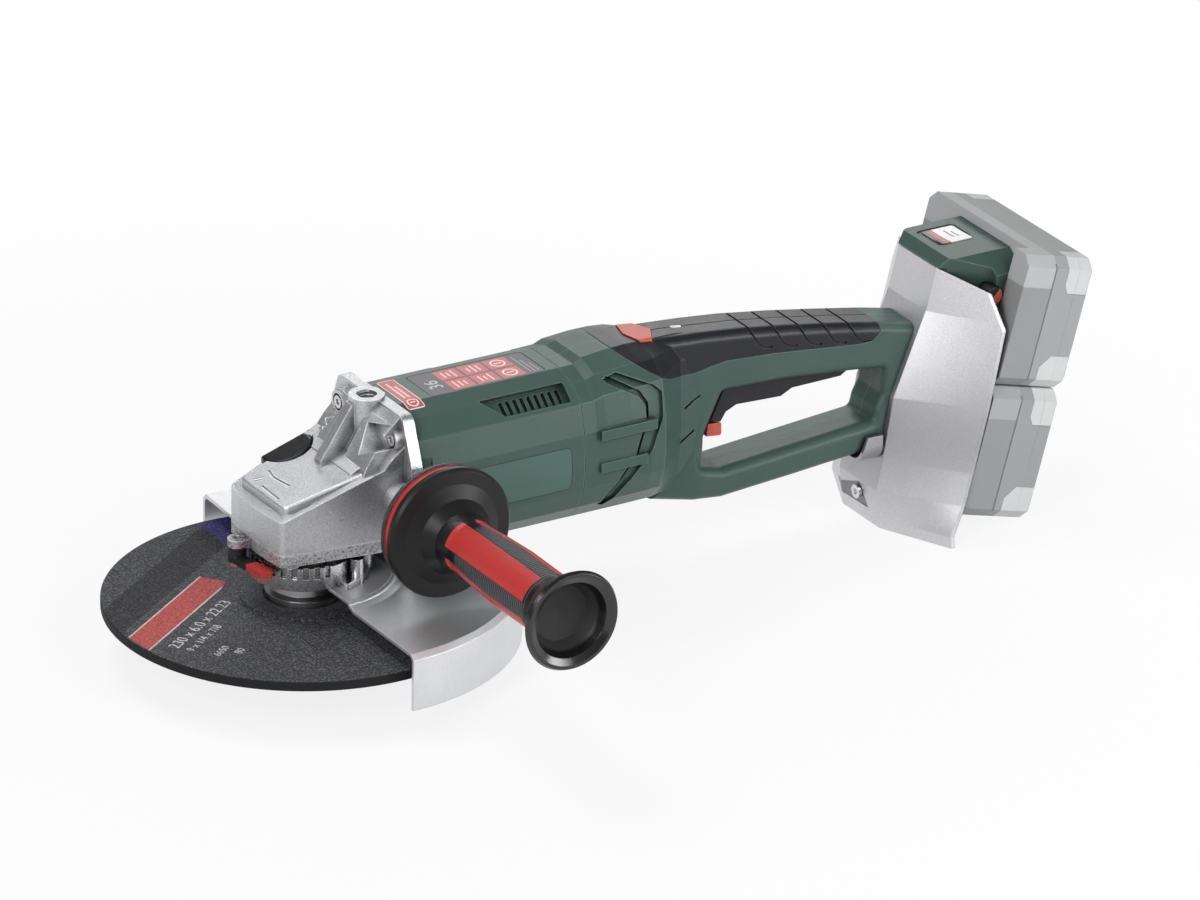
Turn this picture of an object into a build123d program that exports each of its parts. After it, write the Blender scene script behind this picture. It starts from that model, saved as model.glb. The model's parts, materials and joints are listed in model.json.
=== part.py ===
"""Cordless 230 mm angle grinder with a turning D-handle and two battery packs.

The origin is on the spindle axis at the outer face of the clamping nut. +X runs back along the motor,
+Y to the right-hand side socket and +Z up. All lengths are millimetres.
"""
from math import atan2, cos, degrees, hypot, radians, sin, tan
import os

from build123d import *

os.makedirs("parts", exist_ok=True)

# ---------------------------------------------------------------- driving dimensions
# Clearances
slip = 0.1
gap = 0.3

# Disc, flanges and spindle
nut_height = 8.0
nut_radius = 22.0
pin_hole_radius = 2.6
pin_hole_pitch = 35.0
disc_diameter = 230.0
disc_thickness = 6.0
disc_bore = 22.23
hub_ring_radius = 36.0
hub_ring_height = 1.6
flange_radius = 22.0
flange_height = 15.0
thread_radius = 7.0
pilot_height = 4.0

# Motor axis and bevel gears
motor_axis_z = 80.0
gear_module = 1.6
crown_teeth = 34
pinion_teeth = 11
tooth_face = 6.5
tooth_thinning = 0.32

# Bearing cover, guard collar and guard
cover_z = 49.0
seam_z = 56.4
neck_radius = 26.0
neck_bottom_z = 31.4
collar_bottom_z = 34.0
collar_height = 10.0
collar_wall = 4.7
notch_step = 12.0
notch_depth = 1.6
disc_room = 7.5
guard_sheet = 2.0
guard_top_z = 27.0
guard_skirt_z = -7.0
guard_step_radius = 50.0
guard_from_deg = -90.0
guard_to_deg = 88.0

# Gear housing
housing_front_x = -33.0
motor_flange_x = 43.0
joint_x = 50.0
front_top_z = 75.4
roof_slope = 0.387
plate_front_z = 83.5
plate_slope = 0.277
socket_radius = 6.0
socket_depth = 16.0
top_socket_x = 40.5
top_socket_z = 130.0
top_boss_radius = 10.4
flange_top_edge_z = top_socket_z - 1.5
side_socket_x = 42.0
side_socket_y = 47.2
side_boss_radius = 11.5
housing_screw_y = 30.0
housing_screw_dz = 33.5
screw_head_radius = 3.9
screw_shank_radius = 2.1

# Spindle lock
lock_x = 6.0
lock_y = 30.0
lock_radius = 14.8
lock_travel = 4.0
lock_pin_radius = 2.0
lock_pin_pitch_radius = 17.9
lock_floor_z = 80.0
lock_pin_tip_z = 72.3

# Motor
housing_end_x = 158.0
motor_bore_radius = 38.0
stator_from_x = 76.0
stator_to_x = 134.0
stator_bore_radius = 21.0
rotor_radius = 20.4
rotor_shaft_radius = 5.0
fan_radius = 34.0
ball_bearing_radius = 14.0
ball_bearing_width = 8.0

# Side handle
damper_y = 84.0
flange_disc_y = 91.5
flange_disc_radius = 39.0
grip_radius = 18.3
grip_root_radius = 15.6
cap_y = 225.5
cap_radius = 29.6
cap_bore_radius = 22.5

# Rear handle
frame_half_width = 16.5
swivel_tube_radius = 28.0
swivel_rim_radius = 33.0
turn_button_x = 218.5
turn_button_travel = 4.0
trigger_half_width = 8.0
trigger_pivot_x = 357.0
trigger_pivot_z = 84.0
lock_lever_x = 268.5
lock_lever_z = 67.0

# Shield, foot and battery packs
shield_sheet = 2.4
pack_tilt_deg = 15.0
pack_top_x = 448.7
pack_top_z = 151.5
pack_length = 80.4
pack_pitch = 81.6
pack_half_width = 60.0
pack_depth = 49.0
pack_lid_depth = 11.0
rail_half_width = 43.0
rail_height = 9.7
rail_lip = 3.0
release_travel = 2.5

# ---------------------------------------------------------------- derived places
disc_z = nut_height
flange_z = disc_z + disc_thickness
flange_top_z = flange_z + flange_height
guard_radius = disc_diameter / 2 + disc_room + guard_sheet
collar_inner = neck_radius + gap
collar_outer = collar_inner + collar_wall
apex = Vector(0, 0, motor_axis_z)
crown_pitch_radius = gear_module * crown_teeth / 2
pinion_pitch_radius = gear_module * pinion_teeth / 2
crown_angle = degrees(atan2(crown_teeth, pinion_teeth))
cone_length = hypot(crown_pitch_radius, pinion_pitch_radius)
crown_pitch_z = motor_axis_z - pinion_pitch_radius


# ---------------------------------------------------------------- shared shapes
def outline(plane, points):
    """Closed face through the points of a plane."""
    with BuildSketch(plane) as sketch:
        with BuildLine():
            Polyline(*points, close=True)
        make_face()
    return sketch.sketch


def soft_outline(plane, points, corner):
    """Closed face with every corner rounded."""
    with BuildSketch(plane) as sketch:
        with BuildLine():
            Polyline(*points, close=True)
        make_face()
        fillet(sketch.vertices(), corner)
    return sketch.sketch


def ring_profile(points):
    """Closed face in the half plane of radius and height above the origin."""
    return outline(Plane.XZ, points)


def bevel_tooth(pitch_radius, cone_deg, half_base, half_tip):
    """One straight tooth along +X, lofted towards the apex, with its axis on local Z below the apex."""
    slant = pitch_radius / sin(radians(cone_deg))
    along = Vector(sin(radians(cone_deg)), 0, -cos(radians(cone_deg)))
    outward = Vector(cos(radians(cone_deg)), 0, sin(radians(cone_deg)))
    with BuildPart() as tooth:
        for share in (1.0, 1.0 - tooth_face / slant):
            centre = along * (slant * share)
            tip = gear_module * share
            root = 1.55 * gear_module * share
            place = Plane(origin=centre, x_dir=(0, 1, 0), z_dir=along)
            up = 1 if place.y_dir.dot(outward) > 0 else -1
            with BuildSketch(place):
                with BuildLine():
                    Polyline(
                        (-half_base * share, -up * root),
                        (half_base * share, -up * root),
                        (half_tip * share, up * tip),
                        (-half_tip * share, up * tip),
                        close=True,
                    )
                make_face()
        loft(ruled=True)
    return tooth.part


def bevel_wheel(teeth, pitch_radius, cone_deg, back, bore, half_base, half_tip, phase):
    """Bevel gear with its apex at the origin and its axis along Z, the body below."""
    slant = pitch_radius / sin(radians(cone_deg))
    s = sin(radians(cone_deg))
    c = cos(radians(cone_deg))
    root = 1.2 * gear_module
    inner = 1.0 - tooth_face / slant
    big = (slant * s - root * c, -slant * c - root * s)
    small = (big[0] * inner, big[1] * inner)
    with BuildPart() as wheel:
        with BuildSketch(Plane.XZ):
            with BuildLine():
                Polyline(
                    (bore, small[1]),
                    small,
                    big,
                    (big[0], -back),
                    (bore, -back),
                    close=True,
                )
            make_face()
        revolve(axis=Axis.Z)
        tooth = bevel_tooth(pitch_radius, cone_deg, half_base, half_tip)
        for index in range(teeth):
            add(tooth.rotate(Axis.Z, phase + index * 360.0 / teeth))
    return wheel.part


# ---------------------------------------------------------------- spindle body
with BuildPart() as grinding_disc:
    with BuildSketch(Plane.XY.offset(disc_z)):
        Circle(disc_diameter / 2)
        Circle(disc_bore / 2, mode=Mode.SUBTRACT)
    extrude(amount=disc_thickness)
    with BuildSketch(Plane.XY.offset(flange_z)):
        Circle(hub_ring_radius)
        Circle(flange_radius + 1.0, mode=Mode.SUBTRACT)
    extrude(amount=hub_ring_height)
    chamfer(grinding_disc.edges().filter_by(GeomType.CIRCLE).sort_by(SortBy.RADIUS)[-2:], 0.6)
grinding_disc.part.label = "grinding_disc"
export_step(grinding_disc.part, "parts/grinding_disc.step")

with BuildPart() as clamping_nut:
    with BuildSketch():
        Circle(nut_radius)
        Circle(thread_radius, mode=Mode.SUBTRACT)
        with PolarLocations(pin_hole_pitch / 2, 2):
            Circle(pin_hole_radius, mode=Mode.SUBTRACT)
    extrude(amount=nut_height)
    chamfer(clamping_nut.edges().filter_by(GeomType.CIRCLE).sort_by(SortBy.RADIUS)[-2:], 0.8)
clamping_nut.part.label = "clamping_nut"
export_step(clamping_nut.part, "parts/clamping_nut.step")

with BuildPart() as support_flange:
    add(
        ring_profile(
            [
                (thread_radius + slip, flange_z - pilot_height),
                (disc_bore / 2 - slip, flange_z - pilot_height),
                (disc_bore / 2 - slip, flange_z),
                (flange_radius, flange_z),
                (flange_radius, flange_z + 5.0),
                (flange_radius - 3.0, flange_z + 7.0),
                (flange_radius - 4.5, flange_top_z),
                (thread_radius + slip, flange_top_z),
            ]
        )
    )
    revolve(axis=Axis.Z)
support_flange.part.label = "support_flange"
export_step(support_flange.part, "parts/support_flange.step")

bearing_bore = 7.5
spindle_bearing_radius = 17.5
spindle_bearing_width = 11.0
spindle_bearing_z = 39.0
gear_seat_radius = 8.0
gear_back_z = 58.0
spindle_nose_radius = 5.0
needle_z = 77.6
needle_height = 8.0
with BuildPart() as spindle:
    add(
        ring_profile(
            [
                (0, 0.8),
                (thread_radius - slip, 0.8),
                (thread_radius - slip, flange_top_z),
                (9.6, flange_top_z),
                (9.6, neck_bottom_z + 3.0),
                (bearing_bore, neck_bottom_z + 3.0),
                (bearing_bore, spindle_bearing_z + spindle_bearing_width),
                (11.0, spindle_bearing_z + spindle_bearing_width),
                (11.0, gear_back_z),
                (gear_seat_radius, gear_back_z),
                (gear_seat_radius, 70.0),
                (spindle_nose_radius, 72.0),
                (spindle_nose_radius, needle_z + needle_height),
                (0, needle_z + needle_height),
            ]
        )
    )
    revolve(axis=Axis.Z)
    with BuildSketch(Plane.XY):
        RegularPolygon(3.4, 6)
    extrude(amount=9.0, mode=Mode.SUBTRACT)
spindle.part.label = "spindle"
export_step(spindle.part, "parts/spindle.step")

crown_tooth_half = gear_module * 1.5708 / 2
crown_body = bevel_wheel(
    crown_teeth,
    crown_pitch_radius,
    crown_angle,
    motor_axis_z - gear_back_z,
    gear_seat_radius + slip,
    crown_tooth_half + 0.75 - tooth_thinning,
    crown_tooth_half - 0.62 - tooth_thinning,
    0.0,
)
with BuildPart() as crown_gear:
    add(crown_body.translate(apex))
    with BuildSketch(Plane.XY.offset(gear_back_z)):
        with PolarLocations(lock_pin_pitch_radius, 6, start_angle=degrees(atan2(17.2, 5.0))):
            Circle(lock_pin_radius + gap)
    extrude(amount=30.0, mode=Mode.SUBTRACT)
crown_gear.part.label = "crown_gear"
export_step(crown_gear.part, "parts/crown_gear.step")

# ---------------------------------------------------------------- rotor body
pinion_body = bevel_wheel(
    pinion_teeth,
    pinion_pitch_radius,
    90.0 - crown_angle,
    34.6,
    rotor_shaft_radius - 0.4 + slip,
    crown_tooth_half + 0.45 - tooth_thinning,
    crown_tooth_half - 0.8 - tooth_thinning,
    0.0,
)
with BuildPart() as pinion:
    add(pinion_body.rotate(Axis.Y, -90).translate(apex))
pinion.part.label = "pinion"
export_step(pinion.part, "parts/pinion.step")

pinion_bearing_x = 34.8
rear_bearing_x = 146.0
rear_bearing_radius = 11.0
with BuildPart() as rotor_shaft:
    with BuildSketch(Plane.YZ.offset(21.5)):
        with Locations((0, motor_axis_z)):
            Circle(rotor_shaft_radius - 0.4)
    extrude(amount=13.1)
    with BuildSketch(Plane.YZ.offset(34.6)):
        with Locations((0, motor_axis_z)):
            Circle(rotor_shaft_radius)
    extrude(amount=rear_bearing_x + ball_bearing_width + 1.0 - 34.6)
rotor_shaft.part.label = "rotor_shaft"
export_step(rotor_shaft.part, "parts/rotor_shaft.step")

with BuildPart() as rotor_core:
    with BuildSketch(Plane.YZ.offset(stator_from_x)):
        with Locations((0, motor_axis_z)):
            Circle(rotor_radius)
            Circle(rotor_shaft_radius + slip, mode=Mode.SUBTRACT)
    extrude(amount=stator_to_x - stator_from_x)
rotor_core.part.label = "rotor_core"
export_step(rotor_core.part, "parts/rotor_core.step")

fan_x = 54.0
fan_width = 12.0
with BuildPart() as fan:
    with BuildSketch(Plane.YZ.offset(fan_x)):
        with Locations((0, motor_axis_z)):
            Circle(fan_radius)
            Circle(rotor_shaft_radius + slip, mode=Mode.SUBTRACT)
    extrude(amount=2.0)
    with BuildSketch(Plane.YZ.offset(fan_x + 2.0)):
        with Locations((0, motor_axis_z)):
            Circle(9.0)
            Circle(rotor_shaft_radius + slip, mode=Mode.SUBTRACT)
            with PolarLocations((fan_radius + 14.0) / 2, 18):
                Rectangle(fan_radius - 16.0, 1.6)
    extrude(amount=fan_width - 2.0)
fan.part.label = "fan"
export_step(fan.part, "parts/fan.step")


def ball_bearing(plane, outer, inner, width):
    """Sealed ball bearing as one ring with grooved faces."""
    with BuildPart() as ring:
        with BuildSketch(plane):
            Circle(outer)
            Circle(inner + slip, mode=Mode.SUBTRACT)
        extrude(amount=width)
        with BuildSketch(plane):
            Circle(outer - 2.2)
            Circle(inner + 2.4, mode=Mode.SUBTRACT)
        extrude(amount=0.6, mode=Mode.SUBTRACT)
        with BuildSketch(plane.offset(width)):
            Circle(outer - 2.2)
            Circle(inner + 2.4, mode=Mode.SUBTRACT)
        extrude(amount=-0.6, mode=Mode.SUBTRACT)
    return ring.part


def motor_plane(x):
    """Plane across the motor axis, local x along +Y and local y along +Z."""
    return Plane(origin=(x, 0, motor_axis_z), x_dir=(0, 1, 0), z_dir=(1, 0, 0))


with BuildPart() as spindle_bearing:
    add(ball_bearing(Plane.XY.offset(spindle_bearing_z), spindle_bearing_radius, bearing_bore,
                     spindle_bearing_width))
spindle_bearing.part.label = "spindle_bearing"
export_step(spindle_bearing.part, "parts/spindle_bearing.step")

needle_radius = 8.0
with BuildPart() as needle_bearing:
    with BuildSketch(Plane.XY.offset(needle_z)):
        Circle(needle_radius)
        Circle(spindle_nose_radius + slip, mode=Mode.SUBTRACT)
    extrude(amount=needle_height - 0.4)
needle_bearing.part.label = "needle_bearing"
export_step(needle_bearing.part, "parts/needle_bearing.step")

with BuildPart() as pinion_bearing:
    add(ball_bearing(motor_plane(pinion_bearing_x), ball_bearing_radius, rotor_shaft_radius,
                     ball_bearing_width))
pinion_bearing.part.label = "pinion_bearing"
export_step(pinion_bearing.part, "parts/pinion_bearing.step")

with BuildPart() as rear_bearing:
    add(ball_bearing(motor_plane(rear_bearing_x), rear_bearing_radius, rotor_shaft_radius,
                     ball_bearing_width))
rear_bearing.part.label = "rear_bearing"
export_step(rear_bearing.part, "parts/rear_bearing.step")

with BuildPart() as stator:
    with BuildSketch(motor_plane(stator_from_x)):
        Circle(motor_bore_radius - gap)
        Circle(stator_bore_radius, mode=Mode.SUBTRACT)
        with PolarLocations(28.0, 6, start_angle=30):
            Circle(4.2, mode=Mode.SUBTRACT)
    extrude(amount=stator_to_x - stator_from_x)
stator.part.label = "stator"
export_step(stator.part, "parts/stator.step")

# ---------------------------------------------------------------- gear housing
half_plan = [
    (housing_front_x, 0),
    (housing_front_x + 0.5, 16.0),
    (housing_front_x + 2.0, 30.0),
    (31.0, 38.0),
    (joint_x, 40.0),
]
plan = half_plan + [(x, -y) for x, y in reversed(half_plan[1:])]
side_profile = [
    (housing_front_x - 5.0, seam_z),
    (housing_front_x - 5.0, front_top_z - 3.0 * roof_slope),
    (30.0, front_top_z + (30.0 - housing_front_x - 2.0) * roof_slope),
    (35.0, 105.0),
    (joint_x, 118.0),
    (joint_x, seam_z),
]
with BuildPart() as shell_block:
    extrude(outline(Plane.XY.offset(seam_z), plan), amount=70.0)
    extrude(outline(Plane.XZ, side_profile), amount=60.0, both=True, mode=Mode.INTERSECT)
    fillet(shell_block.edges().filter_by(Axis.Z).group_by(Axis.X)[2], 4.0)

plate_points = [
    (-27.4, 25.2),
    (31.0, 33.0),
    (31.0, -33.0),
    (-27.4, -25.2),
]
plate_line_width = 1.3
plate_line_depth = 0.6
plate_line_points = (
    [(-13.0, 17.5), (-14.8, 9.0), (-13.2, -7.0)],
    [(-23.5, 6.0), (-24.0, -14.0)],
    [(-24.5, 14.5), (-19.5, 11.8)],
    [(-23.2, 16.6), (-18.2, 13.9)],
)
plate_profile = [
    (-40.0, 70.0),
    (-40.0, plate_front_z + plate_slope * -13.0),
    (31.0, plate_front_z + plate_slope * 58.0),
    (31.0, 70.0),
]
with BuildPart() as roof_plate:
    extrude(outline(Plane.XY.offset(70.0), plate_points), amount=50.0)
    extrude(outline(Plane.XZ, plate_profile), amount=60.0, both=True, mode=Mode.INTERSECT)
    fillet(roof_plate.edges().filter_by(Axis.Z).group_by(Axis.X)[0], 5.0)
    fillet(roof_plate.faces().sort_by(Axis.Z)[-1].edges(), 1.5)

with BuildPart() as plate_lines:
    for points in plate_line_points:
        with BuildSketch(Plane.XY.offset(75.0)):
            with BuildLine():
                line = Polyline(*points)
            trace(line, plate_line_width)
        extrude(amount=40.0)
    add(roof_plate.part.translate((0, 0, -plate_line_depth)), mode=Mode.SUBTRACT)

flange_face = [
    (36.0, flange_top_edge_z),
    (47.0, 101.0),
    (47.0, 58.0),
    (37.0, 31.6),
    (-37.0, 31.6),
    (-47.0, 58.0),
    (-47.0, 101.0),
    (-36.0, flange_top_edge_z),
]
web_profile = [
    (9.0, 92.0),
    (9.0, 96.5),
    (29.0, 126.5),
    (36.0, 127.0),
    (joint_x, 127.0),
    (joint_x, 92.0),
]
wing_profile = [
    (19.0, 94.0),
    (21.0, 99.0),
    (33.0, 118.5),
    (joint_x - 7.0, 127.0),
    (joint_x - 7.0, 94.0),
]
wing_pocket = [
    (13.5, 119.0),
    (31.5, 123.0),
    (29.0, 108.0),
    (20.0, 103.5),
]
rise_profile = [
    (14.0, 92.0),
    (15.0, 96.0),
    (25.0, 101.0),
    (33.0, 113.0),
    (38.0, 123.0),
    (joint_x, 127.0),
    (joint_x, 92.0),
]
cavity_profile = [
    (0, seam_z),
    (28.8, seam_z),
    (28.8, 73.4),
    (21.5, 76.0),
    (0, 76.0),
]
with BuildPart() as gear_housing:
    add(shell_block.part)
    add(roof_plate.part)
    extrude(soft_outline(Plane.YZ.offset(motor_flange_x), flange_face, 6.0), amount=joint_x - motor_flange_x)
    extrude(outline(Plane.XZ, rise_profile), amount=27.0, both=True)
    extrude(outline(Plane.XZ, web_profile), amount=3.4, both=True)
    for side, reach in ((1, 24.0), (-1, 13.0)):
        extrude(outline(Plane.XZ.offset(side * 9.0), wing_profile), amount=side * reach)
        with BuildSketch(Plane.YZ.offset(14.0)):
            with BuildLine():
                Polyline(*[(-side * y, z) for y, z in wing_pocket], close=True)
            make_face()
        extrude(amount=joint_x - 11.0 - 14.0, mode=Mode.SUBTRACT)
    with BuildSketch(Plane.XY.offset(100.0)):
        with Locations((top_socket_x, 0)):
            Circle(top_boss_radius)
    extrude(amount=top_socket_z - 100.0)
    with BuildSketch(Plane.XZ.offset(-side_socket_y)):
        with Locations((side_socket_x, motor_axis_z)):
            Circle(side_boss_radius)
    extrude(amount=2 * side_socket_y)
    with Locations(*[
        Location((joint_x - 5.5, sy * housing_screw_y, motor_axis_z + sz * housing_screw_dz))
        for sy in (-1, 1)
        for sz in (-1, 1)
    ]):
        Cylinder(7.0, 11.0, rotation=(0, 90, 0))
    split(bisect_by=Plane.YZ.offset(joint_x), keep=Keep.BOTTOM)
    add(plate_lines.part, mode=Mode.SUBTRACT)
    # gear space, pinion tunnel and bearing seats
    revolve(ring_profile(cavity_profile), axis=Axis.Z, mode=Mode.SUBTRACT)
    with BuildSketch(Plane.XY.offset(70.0)):
        Circle(needle_radius + 0.05)
    extrude(amount=needle_z + needle_height + 0.2 - 70.0, mode=Mode.SUBTRACT)
    with BuildSketch(motor_plane(12.0)):
        Circle(11.6)
    extrude(amount=joint_x - 12.0, mode=Mode.SUBTRACT)
    with BuildSketch(motor_plane(pinion_bearing_x - 0.6)):
        Circle(ball_bearing_radius + 0.05)
    extrude(amount=joint_x - pinion_bearing_x, mode=Mode.SUBTRACT)
    # threaded sockets
    with BuildSketch(Plane.XY.offset(top_socket_z)):
        with Locations((top_socket_x, 0)):
            Circle(socket_radius)
    extrude(amount=-socket_depth, mode=Mode.SUBTRACT)
    for side in (-1, 1):
        with BuildSketch(Plane.XZ.offset(-side * side_socket_y)):
            with Locations((side_socket_x, motor_axis_z)):
                Circle(socket_radius)
        extrude(amount=side * socket_depth, mode=Mode.SUBTRACT)
    # screw holes with head room towards the front
    for sy in (-1, 1):
        for sz in (-1, 1):
            with BuildSketch(Plane.YZ.offset(motor_flange_x - 25.0)):
                with Locations((sy * housing_screw_y, motor_axis_z + sz * housing_screw_dz)):
                    Circle(screw_head_radius + 1.2)
            extrude(amount=25.0 - 0.5, mode=Mode.SUBTRACT)
            with BuildSketch(Plane.YZ.offset(motor_flange_x - 1.0)):
                with Locations((sy * housing_screw_y, motor_axis_z + sz * housing_screw_dz)):
                    Circle(screw_shank_radius + slip)
            extrude(amount=joint_x, mode=Mode.SUBTRACT)
    # lock button pocket and pin hole
    with BuildSketch(Plane.XY.offset(lock_floor_z)):
        with Locations((lock_x, lock_y)):
            Circle(lock_radius + gap)
    extrude(amount=40.0, mode=Mode.SUBTRACT)
    with BuildSketch(Plane.XY.offset(70.0)):
        with Locations((5.0, 17.2)):
            Circle(lock_pin_radius + slip)
    extrude(amount=12.0, mode=Mode.SUBTRACT)
gear_housing.part.label = "gear_housing"
export_step(gear_housing.part, "parts/gear_housing.step")

lock_top = [
    (lock_x - 20.0, lock_floor_z + lock_travel + 0.5),
    (lock_x - 20.0, 87.0),
    (lock_x + 20.0, 87.0 + 40.0 * 0.32),
    (lock_x + 20.0, lock_floor_z + lock_travel + 0.5),
]
with BuildPart() as lock_button:
    with BuildSketch(Plane.XY.offset(lock_floor_z + lock_travel + 0.5)):
        with Locations((lock_x, lock_y)):
            Circle(lock_radius)
        with Locations((lock_x, lock_y + 25.0 + 4.6)):
            Rectangle(60.0, 50.0, mode=Mode.SUBTRACT)
    extrude(amount=40.0)
    extrude(outline(Plane.XZ, lock_top), amount=60.0, both=True, mode=Mode.INTERSECT)
    fillet(lock_button.faces().sort_by(Axis.Z)[-1].edges(), 2.0)
    with BuildSketch(Plane.XY.offset(lock_floor_z + lock_travel + 0.5)):
        with Locations((5.0, 17.2)):
            Circle(lock_pin_radius)
    extrude(amount=-(lock_floor_z + lock_travel + 0.5 - lock_pin_tip_z))
lock_button.part.label = "lock_button"
export_step(lock_button.part, "parts/lock_button.step")

with BuildPart() as lock_spring:
    with BuildSketch(Plane.XY.offset(lock_floor_z)):
        with Locations((lock_x, lock_y - 3.0)):
            Circle(4.0)
            Circle(2.8, mode=Mode.SUBTRACT)
    extrude(amount=lock_travel + 0.5)
lock_spring.part.label = "lock_spring"
export_step(lock_spring.part, "parts/lock_spring.step")

# ---------------------------------------------------------------- bearing cover and its screws
cover_rear_x = 37.5
cover_points = [
    (housing_front_x, 0),
    (housing_front_x + 0.5, 16.0),
    (housing_front_x + 2.0, 30.0),
    (31.0, 38.0),
    (cover_rear_x, 38.6),
    (cover_rear_x, -38.6),
    (31.0, -38.0),
    (housing_front_x + 2.0, -30.0),
    (housing_front_x + 0.5, -16.0),
]
lever_pivot_x = -37.0
lever_pivot_y = 10.5
lever_z = 39.6
lever_thickness = 4.0
cover_screw_x = 27.0
cover_screw_y = 29.0
with BuildPart() as bearing_cover:
    extrude(outline(Plane.XY.offset(cover_z), cover_points), amount=seam_z - cover_z)
    fillet(bearing_cover.edges().filter_by(Axis.Z).group_by(Axis.X)[2], 4.0)
    with BuildSketch(Plane.XY.offset(cover_z)):
        with Locations((lever_pivot_x, lever_pivot_y)):
            Circle(5.6)
        with Locations((lever_pivot_x + 5.0, lever_pivot_y)):
            Rectangle(10.0, 11.2)
    extrude(amount=4.6)
    with BuildSketch(Plane.XY.offset(neck_bottom_z)):
        Circle(neck_radius + 1.8)
    extrude(amount=collar_bottom_z - gap - neck_bottom_z)
    with BuildSketch(Plane.XY.offset(neck_bottom_z)):
        Circle(neck_radius)
    extrude(amount=cover_z - neck_bottom_z)
    with BuildSketch(Plane.XY.offset(spindle_bearing_z)):
        Circle(spindle_bearing_radius + 0.05)
    extrude(amount=seam_z - spindle_bearing_z, mode=Mode.SUBTRACT)
    with BuildSketch(Plane.XY.offset(neck_bottom_z)):
        Circle(9.6 + 0.6)
    extrude(amount=spindle_bearing_z - neck_bottom_z, mode=Mode.SUBTRACT)
    for sx in (-0.78, 1):
        for sy in (-1, 1):
            with BuildSketch(Plane.XY.offset(cover_z)):
                with Locations((sx * cover_screw_x, sy * cover_screw_y * (1 if sx > 0 else 0.86))):
                    Circle(screw_shank_radius + slip)
            extrude(amount=seam_z - cover_z, mode=Mode.SUBTRACT)
    with BuildSketch(Plane.XY.offset(cover_z)):
        with Locations((lever_pivot_x, lever_pivot_y)):
            Circle(2.5 + slip)
    extrude(amount=4.6, mode=Mode.SUBTRACT)
bearing_cover.part.label = "bearing_cover"
export_step(bearing_cover.part, "parts/bearing_cover.step")

with BuildPart() as cover_screws:
    for sx in (-0.78, 1):
        for sy in (-1, 1):
            with BuildSketch(Plane.XY.offset(cover_z - 2.6)):
                with Locations((sx * cover_screw_x, sy * cover_screw_y * (1 if sx > 0 else 0.86))):
                    Circle(3.6)
                    RegularPolygon(1.7, 6, mode=Mode.SUBTRACT)
            extrude(amount=2.6)
            with BuildSketch(Plane.XY.offset(cover_z - 0.8)):
                with Locations((sx * cover_screw_x, sy * cover_screw_y * (1 if sx > 0 else 0.86))):
                    Circle(screw_shank_radius)
            extrude(amount=seam_z - cover_z + 0.6)
cover_screws.part.label = "cover_screws"
export_step(cover_screws.part, "parts/cover_screws.step")

with BuildPart() as housing_screws:
    for sy in (-1, 1):
        for sz in (-1, 1):
            with BuildSketch(Plane.YZ.offset(motor_flange_x - 0.5 - 3.6)):
                with Locations((sy * housing_screw_y, motor_axis_z + sz * housing_screw_dz)):
                    Circle(screw_head_radius)
                    RegularPolygon(2.0, 6, mode=Mode.SUBTRACT)
            extrude(amount=3.6)
            with BuildSketch(Plane.YZ.offset(motor_flange_x - 0.5 - 1.6)):
                with Locations((sy * housing_screw_y, motor_axis_z + sz * housing_screw_dz)):
                    Circle(screw_shank_radius)
            extrude(amount=22.0)
housing_screws.part.label = "housing_screws"
export_step(housing_screws.part, "parts/housing_screws.step")

# ---------------------------------------------------------------- motor housing
half_section = [
    (15.5, 126.8),
    (29.0, 122.2),
    (39.8, 113.4),
    (44.2, 96.0),
    (45.8, 75.0),
    (44.0, 61.0),
    (39.0, 49.0),
    (27.0, 38.0),
    (12.0, 32.5),
]
section_half_width = 45.8
section_bottom = 32.5
section_top = 126.8


def body_section(x, half_width, bottom, top, crown):
    """Cross-section of the tool body, scaled to its own width and height, with a flat crown on top."""
    wide = half_width / section_half_width
    tall = (top - bottom) / (section_top - section_bottom)
    right = [(y * wide, bottom + (z - section_bottom) * tall) for y, z in half_section]
    right[0] = (crown, top)
    left = [(-y, z) for y, z in reversed(right)]
    return outline(Plane.YZ.offset(x), right + left)


section_crown = 15.5
shoulder_y = 32.5
shoulder_z = 119.4
shoulder_tilt_deg = 39.2
vent_count = 9
vent_pitch = 4.6


def shoulder_cut(points, depth):
    """Prism cut into the near shoulder facet, with local x along the tool and local y up the facet."""
    facet = Plane(
        origin=(125.0, -shoulder_y, shoulder_z),
        x_dir=(1, 0, 0),
        z_dir=(0, -sin(radians(shoulder_tilt_deg)), cos(radians(shoulder_tilt_deg))),
    )
    with BuildPart() as cutter:
        extrude(soft_outline(facet.offset(-depth), points, 0.9), amount=depth + 12.0)
    return cutter.part


with BuildPart() as shoulder_pocket:
    add(shoulder_cut([(-28.0, 6.8), (28.0, 6.8), (28.0, -6.8), (-15.0, -6.8)], 4.5))
    for index in range(vent_count):
        x = 24.0 - index * vent_pitch
        add(shoulder_cut([(x - 1.2, 4.6), (x + 1.2, 4.6), (x + 1.2, -4.6), (x - 1.2, -4.6)], 7.0))

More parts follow.
